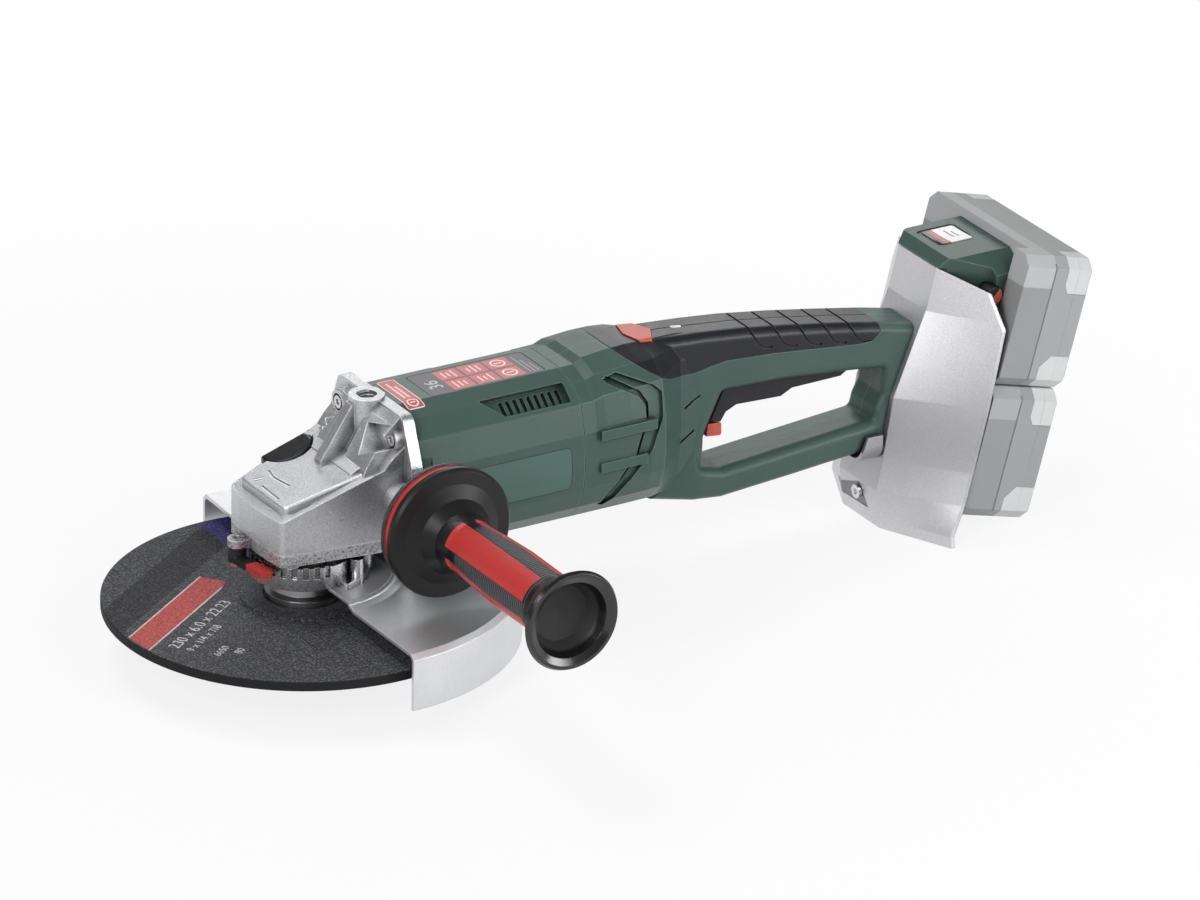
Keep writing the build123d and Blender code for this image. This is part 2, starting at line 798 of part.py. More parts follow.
with BuildPart() as motor_housing:
    extrude(body_section(joint_x, section_half_width, section_bottom, section_top, section_crown),
            amount=housing_end_x - joint_x)
    long_edges = motor_housing.edges().filter_by(Axis.X)
    fillet(long_edges, 3.0)
    with BuildSketch(motor_plane(joint_x)):
        Circle(motor_bore_radius)
    extrude(amount=rear_bearing_x - 2.0 - joint_x, mode=Mode.SUBTRACT)
    with BuildSketch(motor_plane(rear_bearing_x)):
        Circle(rear_bearing_radius + 0.05)
    extrude(amount=ball_bearing_width, mode=Mode.SUBTRACT)
    with BuildSketch(motor_plane(rear_bearing_x - 3.0)):
        Circle(rotor_shaft_radius + 1.5)
    extrude(amount=housing_end_x - rear_bearing_x + 4.0, mode=Mode.SUBTRACT)
    with BuildSketch(motor_plane(housing_end_x - 6.0)):
        Circle(swivel_tube_radius + slip)
        Circle(swivel_tube_radius - 4.0 - slip, mode=Mode.SUBTRACT)
    extrude(amount=6.0, mode=Mode.SUBTRACT)
    # front recess beside the gear housing and the vent pockets in both shoulders
    for side in (-1, 1):
        with BuildSketch(Plane.XY.offset(60.0)):
            with Locations((joint_x + 4.5, side * (section_half_width + 3.0))):
                Rectangle(9.0, 13.0)
        extrude(amount=57.0, mode=Mode.SUBTRACT)
    add(shoulder_pocket.part, mode=Mode.SUBTRACT)
    add(shoulder_pocket.part.mirror(Plane.XZ), mode=Mode.SUBTRACT)
    # seat of the rating plate on the crown
    with BuildSketch(Plane.XY.offset(section_top)):
        with Locations((112.0, 0)):
            RectangleRounded(76.0, 30.0, 2.5)
    extrude(amount=-0.5, mode=Mode.SUBTRACT)
    for sy in (-1, 1):
        for sz in (-1, 1):
            with BuildSketch(Plane.YZ.offset(joint_x)):
                with Locations((sy * housing_screw_y, motor_axis_z + sz * housing_screw_dz)):
                    Circle(screw_shank_radius + slip)
            extrude(amount=14.0, mode=Mode.SUBTRACT)
motor_housing.part.label = "motor_housing"
export_step(motor_housing.part, "parts/motor_housing.step")

with BuildPart() as swivel_ring:
    with BuildSketch(motor_plane(housing_end_x - 6.0)):
        Circle(swivel_tube_radius)
        Circle(swivel_tube_radius - 4.0, mode=Mode.SUBTRACT)
    extrude(amount=14.0)
    with BuildSketch(motor_plane(housing_end_x + 5.0)):
        Circle(swivel_rim_radius)
        Circle(swivel_tube_radius - 4.0, mode=Mode.SUBTRACT)
    extrude(amount=3.0)
swivel_ring.part.label = "swivel_ring"
export_step(swivel_ring.part, "parts/swivel_ring.step")

# ---------------------------------------------------------------- guard, collar and lever
collar_top_z = collar_bottom_z + collar_height
guard_inner_top_z = collar_bottom_z - 3.8
guard_inner_radius = neck_radius + 1.8 + gap
bend = 3.0
guard_profile = [
    (guard_inner_radius, guard_inner_top_z - guard_sheet),
    (guard_inner_radius, guard_inner_top_z),
    (guard_step_radius, guard_inner_top_z),
    (guard_step_radius + 7.0, guard_top_z),
    (guard_radius - bend, guard_top_z),
    (guard_radius, guard_top_z - bend),
    (guard_radius, guard_skirt_z),
    (guard_radius - guard_sheet, guard_skirt_z),
    (guard_radius - guard_sheet, guard_top_z - bend - 0.8),
    (guard_radius - bend - 0.8, guard_top_z - guard_sheet),
    (guard_step_radius + 6.2, guard_top_z - guard_sheet),
    (guard_step_radius - 0.8, guard_inner_top_z - guard_sheet),
]
with BuildPart() as guard:
    start = Plane.XZ.rotated((0, 0, guard_from_deg))
    with BuildSketch(start):
        with BuildLine():
            Polyline(*guard_profile, close=True)
        make_face()
    revolve(axis=Axis.Z, revolution_arc=guard_to_deg - guard_from_deg)
guard.part.label = "guard"
export_step(guard.part, "parts/guard.step")

with BuildPart() as guard_collar:
    with BuildSketch(Plane.XY.offset(collar_bottom_z)):
        Circle(collar_outer)
        Circle(collar_inner, mode=Mode.SUBTRACT)
    extrude(amount=collar_height)
    with BuildSketch(Plane.XY.offset(guard_inner_top_z)):
        Circle(collar_outer)
        Circle(neck_radius + 1.8 + gap, mode=Mode.SUBTRACT)
    extrude(amount=collar_bottom_z - guard_inner_top_z)
    with BuildSketch(Plane.XY.offset(guard_inner_top_z)):
        with BuildLine():
            CenterArc((0, 0), 38.0, -80, 160)
            Line((38.0 * cos(radians(80)), 38.0 * sin(radians(80))),
                 (29.0 * cos(radians(80)), 29.0 * sin(radians(80))))
            CenterArc((0, 0), 29.0, 80, -160)
            Line((29.0 * cos(radians(80)), -29.0 * sin(radians(80))),
                 (38.0 * cos(radians(80)), -38.0 * sin(radians(80))))
        make_face()
    extrude(amount=4.0)
    with BuildSketch(Plane.XY.offset(guard_inner_top_z)):
        with PolarLocations(35.0, 4, start_angle=-60, angular_range=120):
            Circle(4.0)
    extrude(amount=collar_top_z + 1.5 - guard_inner_top_z)
    with BuildSketch(Plane.XY.offset(collar_bottom_z + 3.6)):
        with PolarLocations(collar_outer, 14, start_angle=111, angular_range=13 * notch_step,
                            endpoint=True):
            Rectangle(2 * notch_depth, 3.2)
    extrude(amount=collar_height, mode=Mode.SUBTRACT)
guard_collar.part.label = "guard_collar"
export_step(guard_collar.part, "parts/guard_collar.step")

lever_angle_deg = 195.0
tooth_radius = collar_outer + gap + 1.7
tooth_x = tooth_radius * cos(radians(lever_angle_deg))
tooth_y = tooth_radius * sin(radians(lever_angle_deg))
lever_points = [
    (lever_pivot_x - 3.6, lever_pivot_y + 3.6),
    (lever_pivot_x + 3.6, lever_pivot_y + 3.6),
    (-33.9, lever_pivot_y - 5.0),
    (-32.6, -4.0),
    (-31.7, -9.0),
    (-29.2, -15.5),
    (-31.5, -20.5),
    (-37.5, -17.5),
    (-39.0, -8.0),
    (lever_pivot_x - 4.2, lever_pivot_y - 5.0),
]
with BuildPart() as guard_lever:
    extrude(soft_outline(Plane.XY.offset(lever_z), lever_points, 0.8), amount=lever_thickness)
    with BuildSketch(Plane.XY.offset(lever_z)):
        with Locations(Location((tooth_x, tooth_y, 0), lever_angle_deg)):
            Rectangle(3.4, 2.4)
    extrude(amount=lever_thickness)
    with BuildSketch(Plane.XY.offset(lever_z)):
        with Locations((lever_pivot_x, lever_pivot_y)):
            Circle(5.2)
    extrude(amount=cover_z - 0.3 - lever_z)
    with BuildSketch(Plane.XY.offset(lever_z)):
        with Locations((lever_pivot_x, lever_pivot_y)):
            Circle(2.5 + slip)
    extrude(amount=20.0, mode=Mode.SUBTRACT)
guard_lever.part.label = "guard_lever"
export_step(guard_lever.part, "parts/guard_lever.step")

with BuildPart() as lever_bolt:
    with BuildSketch(Plane.XY.offset(lever_z - 0.3 - 2.4)):
        with Locations((lever_pivot_x, lever_pivot_y)):
            RegularPolygon(4.6, 6)
    extrude(amount=2.4)
    with BuildSketch(Plane.XY.offset(lever_z - 0.3)):
        with Locations((lever_pivot_x, lever_pivot_y)):
            Circle(2.5)
    extrude(amount=cover_z + 4.4 - lever_z)
lever_bolt.part.label = "lever_bolt"
export_step(lever_bolt.part, "parts/lever_bolt.step")


# ---------------------------------------------------------------- side handle
def handle_profile(points):
    """Half section of the side handle: distance out along -Y and radius from its axis."""
    plane = Plane(origin=(side_socket_x, 0, motor_axis_z), x_dir=(0, -1, 0), z_dir=(1, 0, 0))
    return outline(plane, [(y, r) for y, r in points])


handle_axis = Axis((side_socket_x, 0, motor_axis_z), (0, -1, 0))
hub_y = side_socket_y + gap
rear_disc_radius = 37.5
with BuildPart() as handle_stud:
    revolve(
        handle_profile(
            [
                (side_socket_y - socket_depth + 1.0, 0),
                (side_socket_y - socket_depth + 1.0, socket_radius - slip),
                (hub_y + 26.0, socket_radius - slip),
                (hub_y + 26.0, 0),
            ]
        ),
        axis=handle_axis,
    )
handle_stud.part.label = "handle_stud"
export_step(handle_stud.part, "parts/handle_stud.step")

with BuildPart() as handle_hub:
    revolve(
        handle_profile(
            [
                (hub_y, socket_radius),
                (hub_y, 10.5),
                (70.0, 12.5),
                (76.0, 20.0),
                (damper_y - 6.0, rear_disc_radius - 1.0),
                (damper_y - 5.0, rear_disc_radius),
                (damper_y - 3.0, rear_disc_radius),
                (damper_y - 3.0, socket_radius),
            ]
        ),
        axis=handle_axis,
    )
handle_hub.part.label = "handle_hub"
export_step(handle_hub.part, "parts/handle_hub.step")

with BuildPart() as damping_ring:
    revolve(
        handle_profile(
            [
                (damper_y - 3.0, 12.0),
                (damper_y - 3.0, rear_disc_radius - 1.2),
                (damper_y, rear_disc_radius - 0.8),
                (damper_y + 2.4, rear_disc_radius - 1.2),
                (damper_y + 2.4, 12.0),
            ]
        ),
        axis=handle_axis,
    )
damping_ring.part.label = "damping_ring"
export_step(damping_ring.part, "parts/damping_ring.step")

grip_end_y = cap_y - 20.0
panel_depth = 1.6
grip_points = [
    (damper_y + 2.4, 0),
    (damper_y + 2.4, flange_disc_radius - 1.5),
    (damper_y + 4.5, flange_disc_radius),
    (flange_disc_y, flange_disc_radius),
    (flange_disc_y + 1.6, flange_disc_radius - 1.6),
    (flange_disc_y + 2.6, 30.0),
    (flange_disc_y + 6.0, 22.5),
    (flange_disc_y + 13.0, 17.4),
    (flange_disc_y + 24.0, grip_root_radius),
    (flange_disc_y + 45.0, 17.2),
    (flange_disc_y + 70.0, grip_radius),
    (grip_end_y - 8.0, 18.0),
    (grip_end_y, 17.4),
    (grip_end_y, 0),
]
panel_from = flange_disc_y + 14.0
panel_to = grip_end_y - 5.0


def panel_prisms(grow):
    """Four long panel outlines around the grip, as prisms out from the handle axis."""
    with BuildPart() as prisms:
        for index in range(4):
            turn = 45.0 + 90.0 * index
            plane = Plane(origin=(side_socket_x, -(panel_from + panel_to) / 2, motor_axis_z),
                          x_dir=(0, -1, 0), z_dir=(cos(radians(turn)), 0, sin(radians(turn))))
            with BuildSketch(plane):
                SlotOverall(panel_to - panel_from + 2 * grow, 17.0 + 2 * grow)
                with Locations(((panel_to - panel_from) / 4, 0)):
                    Rectangle((panel_to - panel_from) / 2 + 2 * grow, 17.0 + 2 * grow)
            extrude(amount=30.0)
    return prisms.part


def grip_revolve(shrink):
    """The grip's outer form with its radii reduced."""
    inner = [(y, max(r - shrink, 0)) for y, r in grip_points]
    with BuildPart() as form:
        revolve(handle_profile(inner), axis=handle_axis)
    return form.part


grip_form = grip_revolve(0.0)
grip_under = grip_revolve(panel_depth)
panel_shape = panel_prisms(0.0)
panel_room = panel_prisms(0.15)
with BuildPart() as grip_panels:
    add(grip_form)
    add(grip_under, mode=Mode.SUBTRACT)
    add(panel_shape, mode=Mode.INTERSECT)
grip_panels.part.label = "grip_panels"
export_step(grip_panels.part, "parts/grip_panels.step")

with BuildPart() as side_grip:
    add(grip_form)
    add(panel_room, mode=Mode.SUBTRACT)
    add(grip_under)
    with BuildSketch(Plane(origin=(side_socket_x, -grip_end_y, motor_axis_z), x_dir=(1, 0, 0),
                           z_dir=(0, 1, 0))):
        Circle(10.0)
    extrude(amount=grip_end_y - 110.0, mode=Mode.SUBTRACT)
side_grip.part.label = "side_grip"
export_step(side_grip.part, "parts/side_grip.step")

with BuildPart() as end_cap:
    revolve(
        handle_profile(
            [
                (grip_end_y - 6.0, 0),
                (grip_end_y - 6.0, 9.8),
                (grip_end_y, 9.8),
                (grip_end_y, 18.0),
                (cap_y - 12.0, 21.0),
                (cap_y - 5.0, cap_radius - 1.5),
                (cap_y - 2.0, cap_radius),
                (cap_y, cap_radius - 1.2),
                (cap_y, cap_radius - 3.2),
                (cap_y - 2.0, cap_bore_radius),
                (cap_y - 14.0, cap_bore_radius - 6.0),
                (cap_y - 17.0, 0),
            ]
        ),
        axis=handle_axis,
    )
end_cap.part.label = "end_cap"
export_step(end_cap.part, "parts/end_cap.step")

# ---------------------------------------------------------------- shield
shield_sections = [
    (138.0, 410.0, 20.0, 437.0, 57.0),
    (112.0, 403.5, 20.0, 432.0, 59.5),
    (61.0, 383.0, 20.0, 421.0, 60.5),
    (23.0, 377.0, 20.0, 411.0, 61.4),
    (4.0, 373.0, 20.0, 405.0, 62.5),
    (-14.0, 375.5, 20.0, 397.0, 64.0),
    (-20.5, 376.0, 20.0, 397.0, 65.0),
]


def shield_slab(front, rear):
    """Solid between two copies of the shield's folded surface, each shifted along X."""
    with BuildPart() as slab:
        for z, x_mid, y_mid, x_edge, y_edge in shield_sections:
            with BuildSketch(Plane.XY.offset(z)):
                with BuildLine():
                    Polyline(
                        (x_mid + front, -y_mid),
                        (x_mid + front, y_mid),
                        (x_edge + front, y_edge),
                        (x_edge + rear, y_edge),
                        (x_mid + rear, y_mid),
                        (x_mid + rear, -y_mid),
                        (x_edge + rear, -y_edge),
                        (x_edge + front, -y_edge),
                        close=True,
                    )
                make_face()
        loft(ruled=True)
    return slab.part


tongue_half_width = 12.0
tongue_from_z = 64.0
tongue_to_z = 98.0
shield_screw_z = -4.0
shield_screw_x = 375.0
trough_from_x = 363.0
trough_length = 13.5
trough_half_width = 20.4
trough_bottom_z = 21.2
trough_rim_z = 39.0
trough_wall = 2.2
with BuildPart() as trough:
    with BuildSketch(Plane.YZ.offset(trough_from_x)):
        with Locations((0, trough_bottom_z + 20.0)):
            RectangleRounded(2 * trough_half_width, 40.0, 12.0)
            RectangleRounded(2 * (trough_half_width - trough_wall), 40.0 - 2 * trough_wall, 10.0,
                             mode=Mode.SUBTRACT)
        with Locations((0, trough_rim_z + 15.0)):
            Rectangle(60.0, 30.0, mode=Mode.SUBTRACT)
    extrude(amount=trough_length)
    split(bisect_by=Plane(origin=(trough_from_x, 0, 30.0), z_dir=(1.0, 0, -0.35)), keep=Keep.TOP)

with BuildPart() as shield:
    add(shield_slab(0.0, shield_sheet))
    with BuildSketch(Plane.XZ):
        with BuildLine():
            Polyline((409.5, 138.0), (445.0, 120.3), (445.0, 145.0), (409.5, 145.0), close=True)
        make_face()
    extrude(amount=80.0, both=True, mode=Mode.SUBTRACT)
    for side in (-1, 1):
        corner = [(side * 46.0, 140.0), (side * 46.0, 131.5), (side * 62.0, 104.0), (side * 80.0, 104.0),
                  (side * 80.0, 140.0)]
        extrude(outline(Plane.YZ.offset(360.0), corner), amount=120.0, mode=Mode.SUBTRACT)
    # trough under the end of the handle's lower bar
    add(trough.part)
    with BuildSketch(Plane.YZ.offset(360.0)):
        with Locations((0, (tongue_from_z + tongue_to_z) / 2)):
            Rectangle(2 * tongue_half_width + 2 * gap, tongue_to_z - tongue_from_z + 2 * gap)
    extrude(amount=70.0, mode=Mode.SUBTRACT)
    with BuildSketch(Plane.YZ.offset(360.0)):
        with Locations((0, shield_screw_z)):
            Circle(screw_shank_radius + slip)
    extrude(amount=40.0, mode=Mode.SUBTRACT)
shield.part.label = "shield"
export_step(shield.part, "parts/shield.step")

# ---------------------------------------------------------------- rear handle, outer form
handle_front_x = housing_end_x + gap
head_sections = [
    (handle_front_x, 45.8, 32.5, 126.8, 15.5),
    (167.0, 45.8, 32.5, 127.0, 15.5),
    (173.0, 46.0, 32.5, 129.4, 14.0),
    (190.0, 46.4, 32.5, 130.6, 13.0),
    (203.0, 46.0, 32.5, 130.8, 12.5),
    (213.0, 44.0, 32.0, 130.4, 12.0),
    (238.0, 20.0, 27.5, 128.8, 9.5),
    (256.0, 15.0, 23.5, 126.4, 9.0),
]
frame_points = [
    (222.0, 129.6),
    (254.8, 127.0),
    (281.0, 124.2),
    (314.0, 119.2),
    (345.0, 113.8),
    (379.0, 107.4),
    (425.0, 97.0),
    (425.0, 50.0),
    (400.0, 31.0),
    (361.5, 27.0),
    (318.0, 23.4),
    (270.0, 20.0),
    (251.0, 22.0),
    (222.0, 29.0),
]
opening_points = [
    (256.0, 42.0),
    (254.5, 50.0),
    (258.5, 64.7),
    (269.3, 87.5),
    (313.0, 85.7),
    (361.0, 80.7),
    (380.3, 78.2),
    (379.0, 62.0),
    (374.8, 54.0),
    (373.0, 46.6),
    (323.9, 42.8),
    (270.3, 38.5),
]


def handle_solid(shrink):
    """The rear handle's outer form, moved inwards all round."""
    with BuildPart() as frame_form:
        with BuildSketch(Plane.XZ):
            with BuildLine():
                Polyline(*frame_points, close=True)
            make_face()
            offset(amount=-shrink)
            with BuildLine():
                Polyline(*opening_points, close=True)
            make_face(mode=Mode.SUBTRACT)
        extrude(amount=frame_half_width - shrink, both=True)
        across = frame_form.edges().filter_by(Axis.Y)
        fillet(across.filter_by_position(Axis.X, 253.0, 381.0).filter_by_position(Axis.Z, 38.0, 88.0), 3.0)
        rims = frame_form.faces().sort_by(Axis.Y)
        fillet(rims[0].edges() + rims[-1].edges(), 6.0 - 0.9 * shrink)
    with BuildPart() as form:
        for x, half_width, bottom, top, crown in head_sections:
            add(body_section(x, half_width - shrink, bottom + shrink, top - shrink, crown))
        loft(ruled=True)
        add(frame_form.part)
        add(shield_slab(-gap, 120.0), mode=Mode.SUBTRACT)
    return form.part


handle_form = handle_solid(0.0)
handle_groove_floor = handle_solid(0.9)
handle_channel_floor = handle_solid(2.0)
handle_groove_depth = handle_solid(4.0)

grip_region_points = [
    (192.5, 160.0),
    (192.5, 131.0),
    (197.0, 127.5),
    (207.0, 120.5),
    (222.0, 112.0),
    (236.0, 106.0),
    (248.0, 104.2),
    (258.0, 106.2),
    (270.0, 107.6),
    (305.0, 105.2),
    (360.0, 98.9),
    (370.0, 99.0),
    (375.5, 104.0),
    (375.5, 160.0),
]


def grip_region(grow):
    """Prism above the lower edge of the soft grip."""
    with BuildSketch(Plane.XZ) as region:
        with BuildLine():
            Polyline(*grip_region_points, close=True)
        make_face()
        if grow > 0:
            offset(amount=grow)
    with BuildPart() as prism:
        extrude(region.sketch, amount=60.0, both=True)
    return prism.part


turn_button_points = [
    (-9.0, 0),
    (-5.5, -13.5),
    (2.5, -13.5),
    (9.5, 0),
    (2.5, 13.5),
    (-5.5, 13.5),
]
turn_button_floor_z = 119.0
turn_button_bottom_z = turn_button_floor_z + turn_button_travel + 0.5


def turn_button_prism(grow, bottom):
    """Hexagonal prism of the handle-turn button, or of its pocket."""
    with BuildPart() as prism:
        with BuildSketch(Plane.XY.offset(bottom)):
            with BuildLine():
                Polyline(*[(turn_button_x + x, y) for x, y in turn_button_points], close=True)
            make_face()
            if grow > 0:
                offset(amount=grow)
        extrude(amount=160.0 - bottom)
    return prism.part


lamp_x = 245.0
lamp_y = 0.0
slot_half_width = trigger_half_width + gap
switch_from_x = 300.0
switch_to_x = 340.0
switch_z = 94.5
switch_height = 9.0
switch_half_width = 7.0
electronics_from_x = 186.0
electronics_to_x = 214.0
electronics_half_width = 14.0
electronics_z = 56.0
electronics_height = 44.0
trigger_slot_points = [
    (271.0, 60.0),
    (271.0, 97.0),
    (299.0, 95.5),
    (299.0, 93.5),
    (364.0, 92.5),
    (364.0, 60.0),
]
shell_screw_places = [(247.0, 78.0), (244.0, 35.0), (318.0, 33.0), (362.0, 36.5), (383.0, 94.0)]
shell_screw_seat_y = 12.0
with BuildPart() as handle_core:
    add(handle_form)
    # seat of the swivel ring
    with BuildSketch(motor_plane(handle_front_x - 1.0)):
        Circle(swivel_tube_radius + gap)
    extrude(amount=housing_end_x + 5.0 - gap - handle_front_x + 1.0, mode=Mode.SUBTRACT)
    with BuildSketch(motor_plane(housing_end_x + 5.0 - gap)):
        Circle(swivel_rim_radius + gap)
    extrude(amount=3.0 + 2 * gap, mode=Mode.SUBTRACT)
    # rooms for the electronics, the switch and the trigger
    with BuildSketch(Plane.XY.offset(electronics_z)):
        with Locations(((electronics_from_x + electronics_to_x) / 2, 0)):
            Rectangle(electronics_to_x - electronics_from_x + 2 * gap, 2 * electronics_half_width + 2 * gap)
    extrude(amount=electronics_height + gap, mode=Mode.SUBTRACT)
    with BuildSketch(Plane.XY.offset(switch_z)):
        with Locations(((switch_from_x + switch_to_x) / 2, 0)):
            Rectangle(switch_to_x - switch_from_x + 2 * gap, 2 * switch_half_width + 2 * gap)
    extrude(amount=switch_height + gap, mode=Mode.SUBTRACT)
    extrude(outline(Plane.XZ, trigger_slot_points), amount=slot_half_width, both=True, mode=Mode.SUBTRACT)
    add(turn_button_prism(gap, turn_button_floor_z), mode=Mode.SUBTRACT)
    with BuildSketch(Plane.XY.offset(125.0)):
        with Locations((lamp_x, lamp_y)):
            SlotOverall(7.6, 3.6)
    extrude(amount=20.0, mode=Mode.SUBTRACT)

grip_rib_xs = (286.0, 303.0, 320.0, 337.0, 354.0)
rib_width = 1.5


def rib_cutters(rib_x, side):
    """Shallow curved groove between two finger pads, as deep as the groove floor lies."""
    top = 134.0 - 0.16 * (rib_x - 270.0)
    with BuildPart() as cutter:
        with BuildSketch(Plane.XZ):
            with BuildLine():
                line = Spline((rib_x, top), (rib_x + 2.5, top - 14.0), (rib_x + 9.0, top - 20.5),
                              (rib_x + 15.0, top - 21.5))
            trace(line, rib_width)
        extrude(amount=-side * 30.0)
        add(handle_groove_floor, mode=Mode.SUBTRACT)
    return cutter.part


with BuildPart() as seam_cutter:
    with BuildSketch(Plane.XY.offset(100.0)):
        with Locations((300.0, 0)):
            Rectangle(160.0, 0.7)
    extrude(amount=50.0)
    add(handle_groove_floor, mode=Mode.SUBTRACT)

with BuildPart() as soft_grip:
    add(handle_core.part)
    add(grip_region(0.0), mode=Mode.INTERSECT)
    # finger ribs on both sides and the seam along the top
    for rib_x in grip_rib_xs:
        for side in (-1, 1):
            add(rib_cutters(rib_x, side), mode=Mode.SUBTRACT)
    add(seam_cutter.part, mode=Mode.SUBTRACT)
soft_grip.part.label = "soft_grip"
export_step(soft_grip.part, "parts/soft_grip.step")

channel_points = [
    (176.0, 122.0),
    (187.5, 116.0),
    (196.0, 112.0),
    (200.8, 105.0),
    (200.2, 97.0),
    (193.0, 77.0),
    (184.0, 64.0),
    (173.0, 46.0),
    (177.0, 44.0),
    (190.0, 62.0),
    (203.0, 78.0),
    (211.0, 95.0),
    (212.0, 110.0),
    (206.0, 115.5),
    (186.0, 124.0),
]
collar_edge_points = [
    (178.0, 122.0),
    (188.5, 116.6),
    (196.4, 112.0),
    (200.8, 105.0),
    (200.2, 97.0),
    (193.0, 77.0),
    (184.0, 64.0),
    (173.0, 46.0),
]
bar_spans = ((168.0, 205.0, 91.0, 97.0), (168.0, 199.0, 71.0, 77.0))
with BuildPart() as collar_groove:
    with BuildSketch(Plane.XZ):
        with BuildLine():
            edge = Polyline(*collar_edge_points)
        trace(edge, 3.0)
    extrude(amount=60.0)
    add(handle_groove_depth, mode=Mode.SUBTRACT)

with BuildPart() as head_channel:
    extrude(outline(Plane.XZ, channel_points), amount=60.0)
    for from_x, to_x, low_z, high_z in bar_spans:
        with BuildSketch(Plane.XZ):
            with Locations(((from_x + to_x) / 2, (low_z + high_z) / 2)):
                Rectangle(to_x - from_x, high_z - low_z)
        extrude(amount=60.0, mode=Mode.SUBTRACT)
    add(handle_channel_floor, mode=Mode.SUBTRACT)
    add(collar_groove.part)

with BuildPart() as head_bars:
    for from_x, to_x, low_z, high_z in bar_spans:
        with BuildSketch(Plane.XZ):
            with Locations(((from_x + to_x) / 2, (low_z + high_z) / 2)):
                Rectangle(to_x - from_x, high_z - low_z)
        extrude(amount=60.0)
    with BuildSketch(Plane.XY):
        with Locations((185.0, 0)):
            Rectangle(60.0, 2 * (section_half_width + 1.6))
    extrude(amount=150.0, mode=Mode.INTERSECT)
    add(handle_groove_depth, mode=Mode.SUBTRACT)

trigger_pin_radius = 2.0
with BuildPart() as shells:
    add(handle_core.part)
    add(grip_region(0.15), mode=Mode.SUBTRACT)
    # tongue through the shield into the foot
    with BuildSketch(Plane.XZ):
        with BuildLine():
            Polyline(
                (380.0, tongue_from_z),
                (404.0, tongue_from_z),
                (410.0, tongue_to_z),
                (388.0, tongue_to_z),
                close=True,
            )
        make_face()
    extrude(amount=tongue_half_width, both=True)
    with Locations(*[(x, shell_screw_seat_y - 11.5, z) for x, z in shell_screw_places]):
        Cylinder(1.7, 24.0, rotation=(90, 0, 0), mode=Mode.SUBTRACT)
    with Locations(*[(x, shell_screw_seat_y + 25.0, z) for x, z in shell_screw_places]):
        Cylinder(3.8, 50.0, rotation=(90, 0, 0), mode=Mode.SUBTRACT)
    with Locations((trigger_pivot_x, 0, trigger_pivot_z + 2.5)):
        Cylinder(trigger_pin_radius + 0.05, 24.4, rotation=(90, 0, 0), mode=Mode.SUBTRACT)
    add(head_channel.part, mode=Mode.SUBTRACT)
    add(head_channel.part.mirror(Plane.XZ), mode=Mode.SUBTRACT)
    add(head_bars.part)
    add(head_bars.part.mirror(Plane.XZ))
    # two slanted grip lines on each side of the strut
    for line_x, line_z in ((240.5, 84.5), (236.6, 63.7)):
        for side in (-1, 1):
            with BuildSketch(Plane.XZ.offset(side * (frame_half_width - 1.0))):
                with Locations(Location((line_x + 6.0, line_z + 2.5, 0), 23.0)):
                    Rectangle(13.0, 1.6)
            extrude(amount=side * 12.0, mode=Mode.SUBTRACT)

with BuildPart() as handle_left:
    add(shells.part)
    split(bisect_by=Plane.XZ, keep=Keep.TOP)
handle_left.part.label = "handle_left"
export_step(handle_left.part, "parts/handle_left.step")

with BuildPart() as handle_right:
    add(shells.part)
    split(bisect_by=Plane.XZ, keep=Keep.BOTTOM)
handle_right.part.label = "handle_right"
export_step(handle_right.part, "parts/handle_right.step")

with BuildPart() as turn_button:
    add(handle_form.translate((0, 0, 0.8)))
    add(turn_button_prism(0.0, turn_button_bottom_z), mode=Mode.INTERSECT)
turn_button.part.label = "turn_button"
export_step(turn_button.part, "parts/turn_button.step")

with BuildPart() as status_lamp:
    with BuildSketch(Plane.XY.offset(125.0)):
        with Locations((lamp_x, lamp_y)):
            SlotOverall(7.0, 3.0)
    extrude(amount=20.0)
    add(handle_form.translate((0, 0, 0.2)), mode=Mode.INTERSECT)
status_lamp.part.label = "status_lamp"
export_step(status_lamp.part, "parts/status_lamp.step")

with BuildPart() as switch:
    with BuildSketch(Plane.XY.offset(switch_z)):
        with Locations(((switch_from_x + switch_to_x) / 2, 0)):
            Rectangle(switch_to_x - switch_from_x, 2 * switch_half_width)
    extrude(amount=switch_height)
    chamfer(switch.edges().filter_by(Axis.Z), 1.0)
switch.part.label = "switch"
export_step(switch.part, "parts/switch.step")

with BuildPart() as electronics:
    with BuildSketch(Plane.XY.offset(electronics_z)):
        with Locations(((electronics_from_x + electronics_to_x) / 2, 0)):
            Rectangle(electronics_to_x - electronics_from_x, 2 * electronics_half_width)
    extrude(amount=electronics_height)
    chamfer(electronics.edges().filter_by(Axis.Z), 1.5)
electronics.part.label = "electronics"
export_step(electronics.part, "parts/electronics.step")

with BuildPart() as shell_screws:
    with Locations(*[(x, shell_screw_seat_y - 10.5, z) for x, z in shell_screw_places]):
        Cylinder(1.5, 21.0, rotation=(90, 0, 0))
    with Locations(*[(x, shell_screw_seat_y + 1.3, z) for x, z in shell_screw_places]):
        Cylinder(3.4, 2.6, rotation=(90, 0, 0))
    with Locations(*[(x, shell_screw_seat_y + 2.2, z) for x, z in shell_screw_places]):
        Cylinder(1.4, 2.0, rotation=(90, 0, 0), mode=Mode.SUBTRACT)
shell_screws.part.label = "shell_screws"
export_step(shell_screws.part, "parts/shell_screws.step")

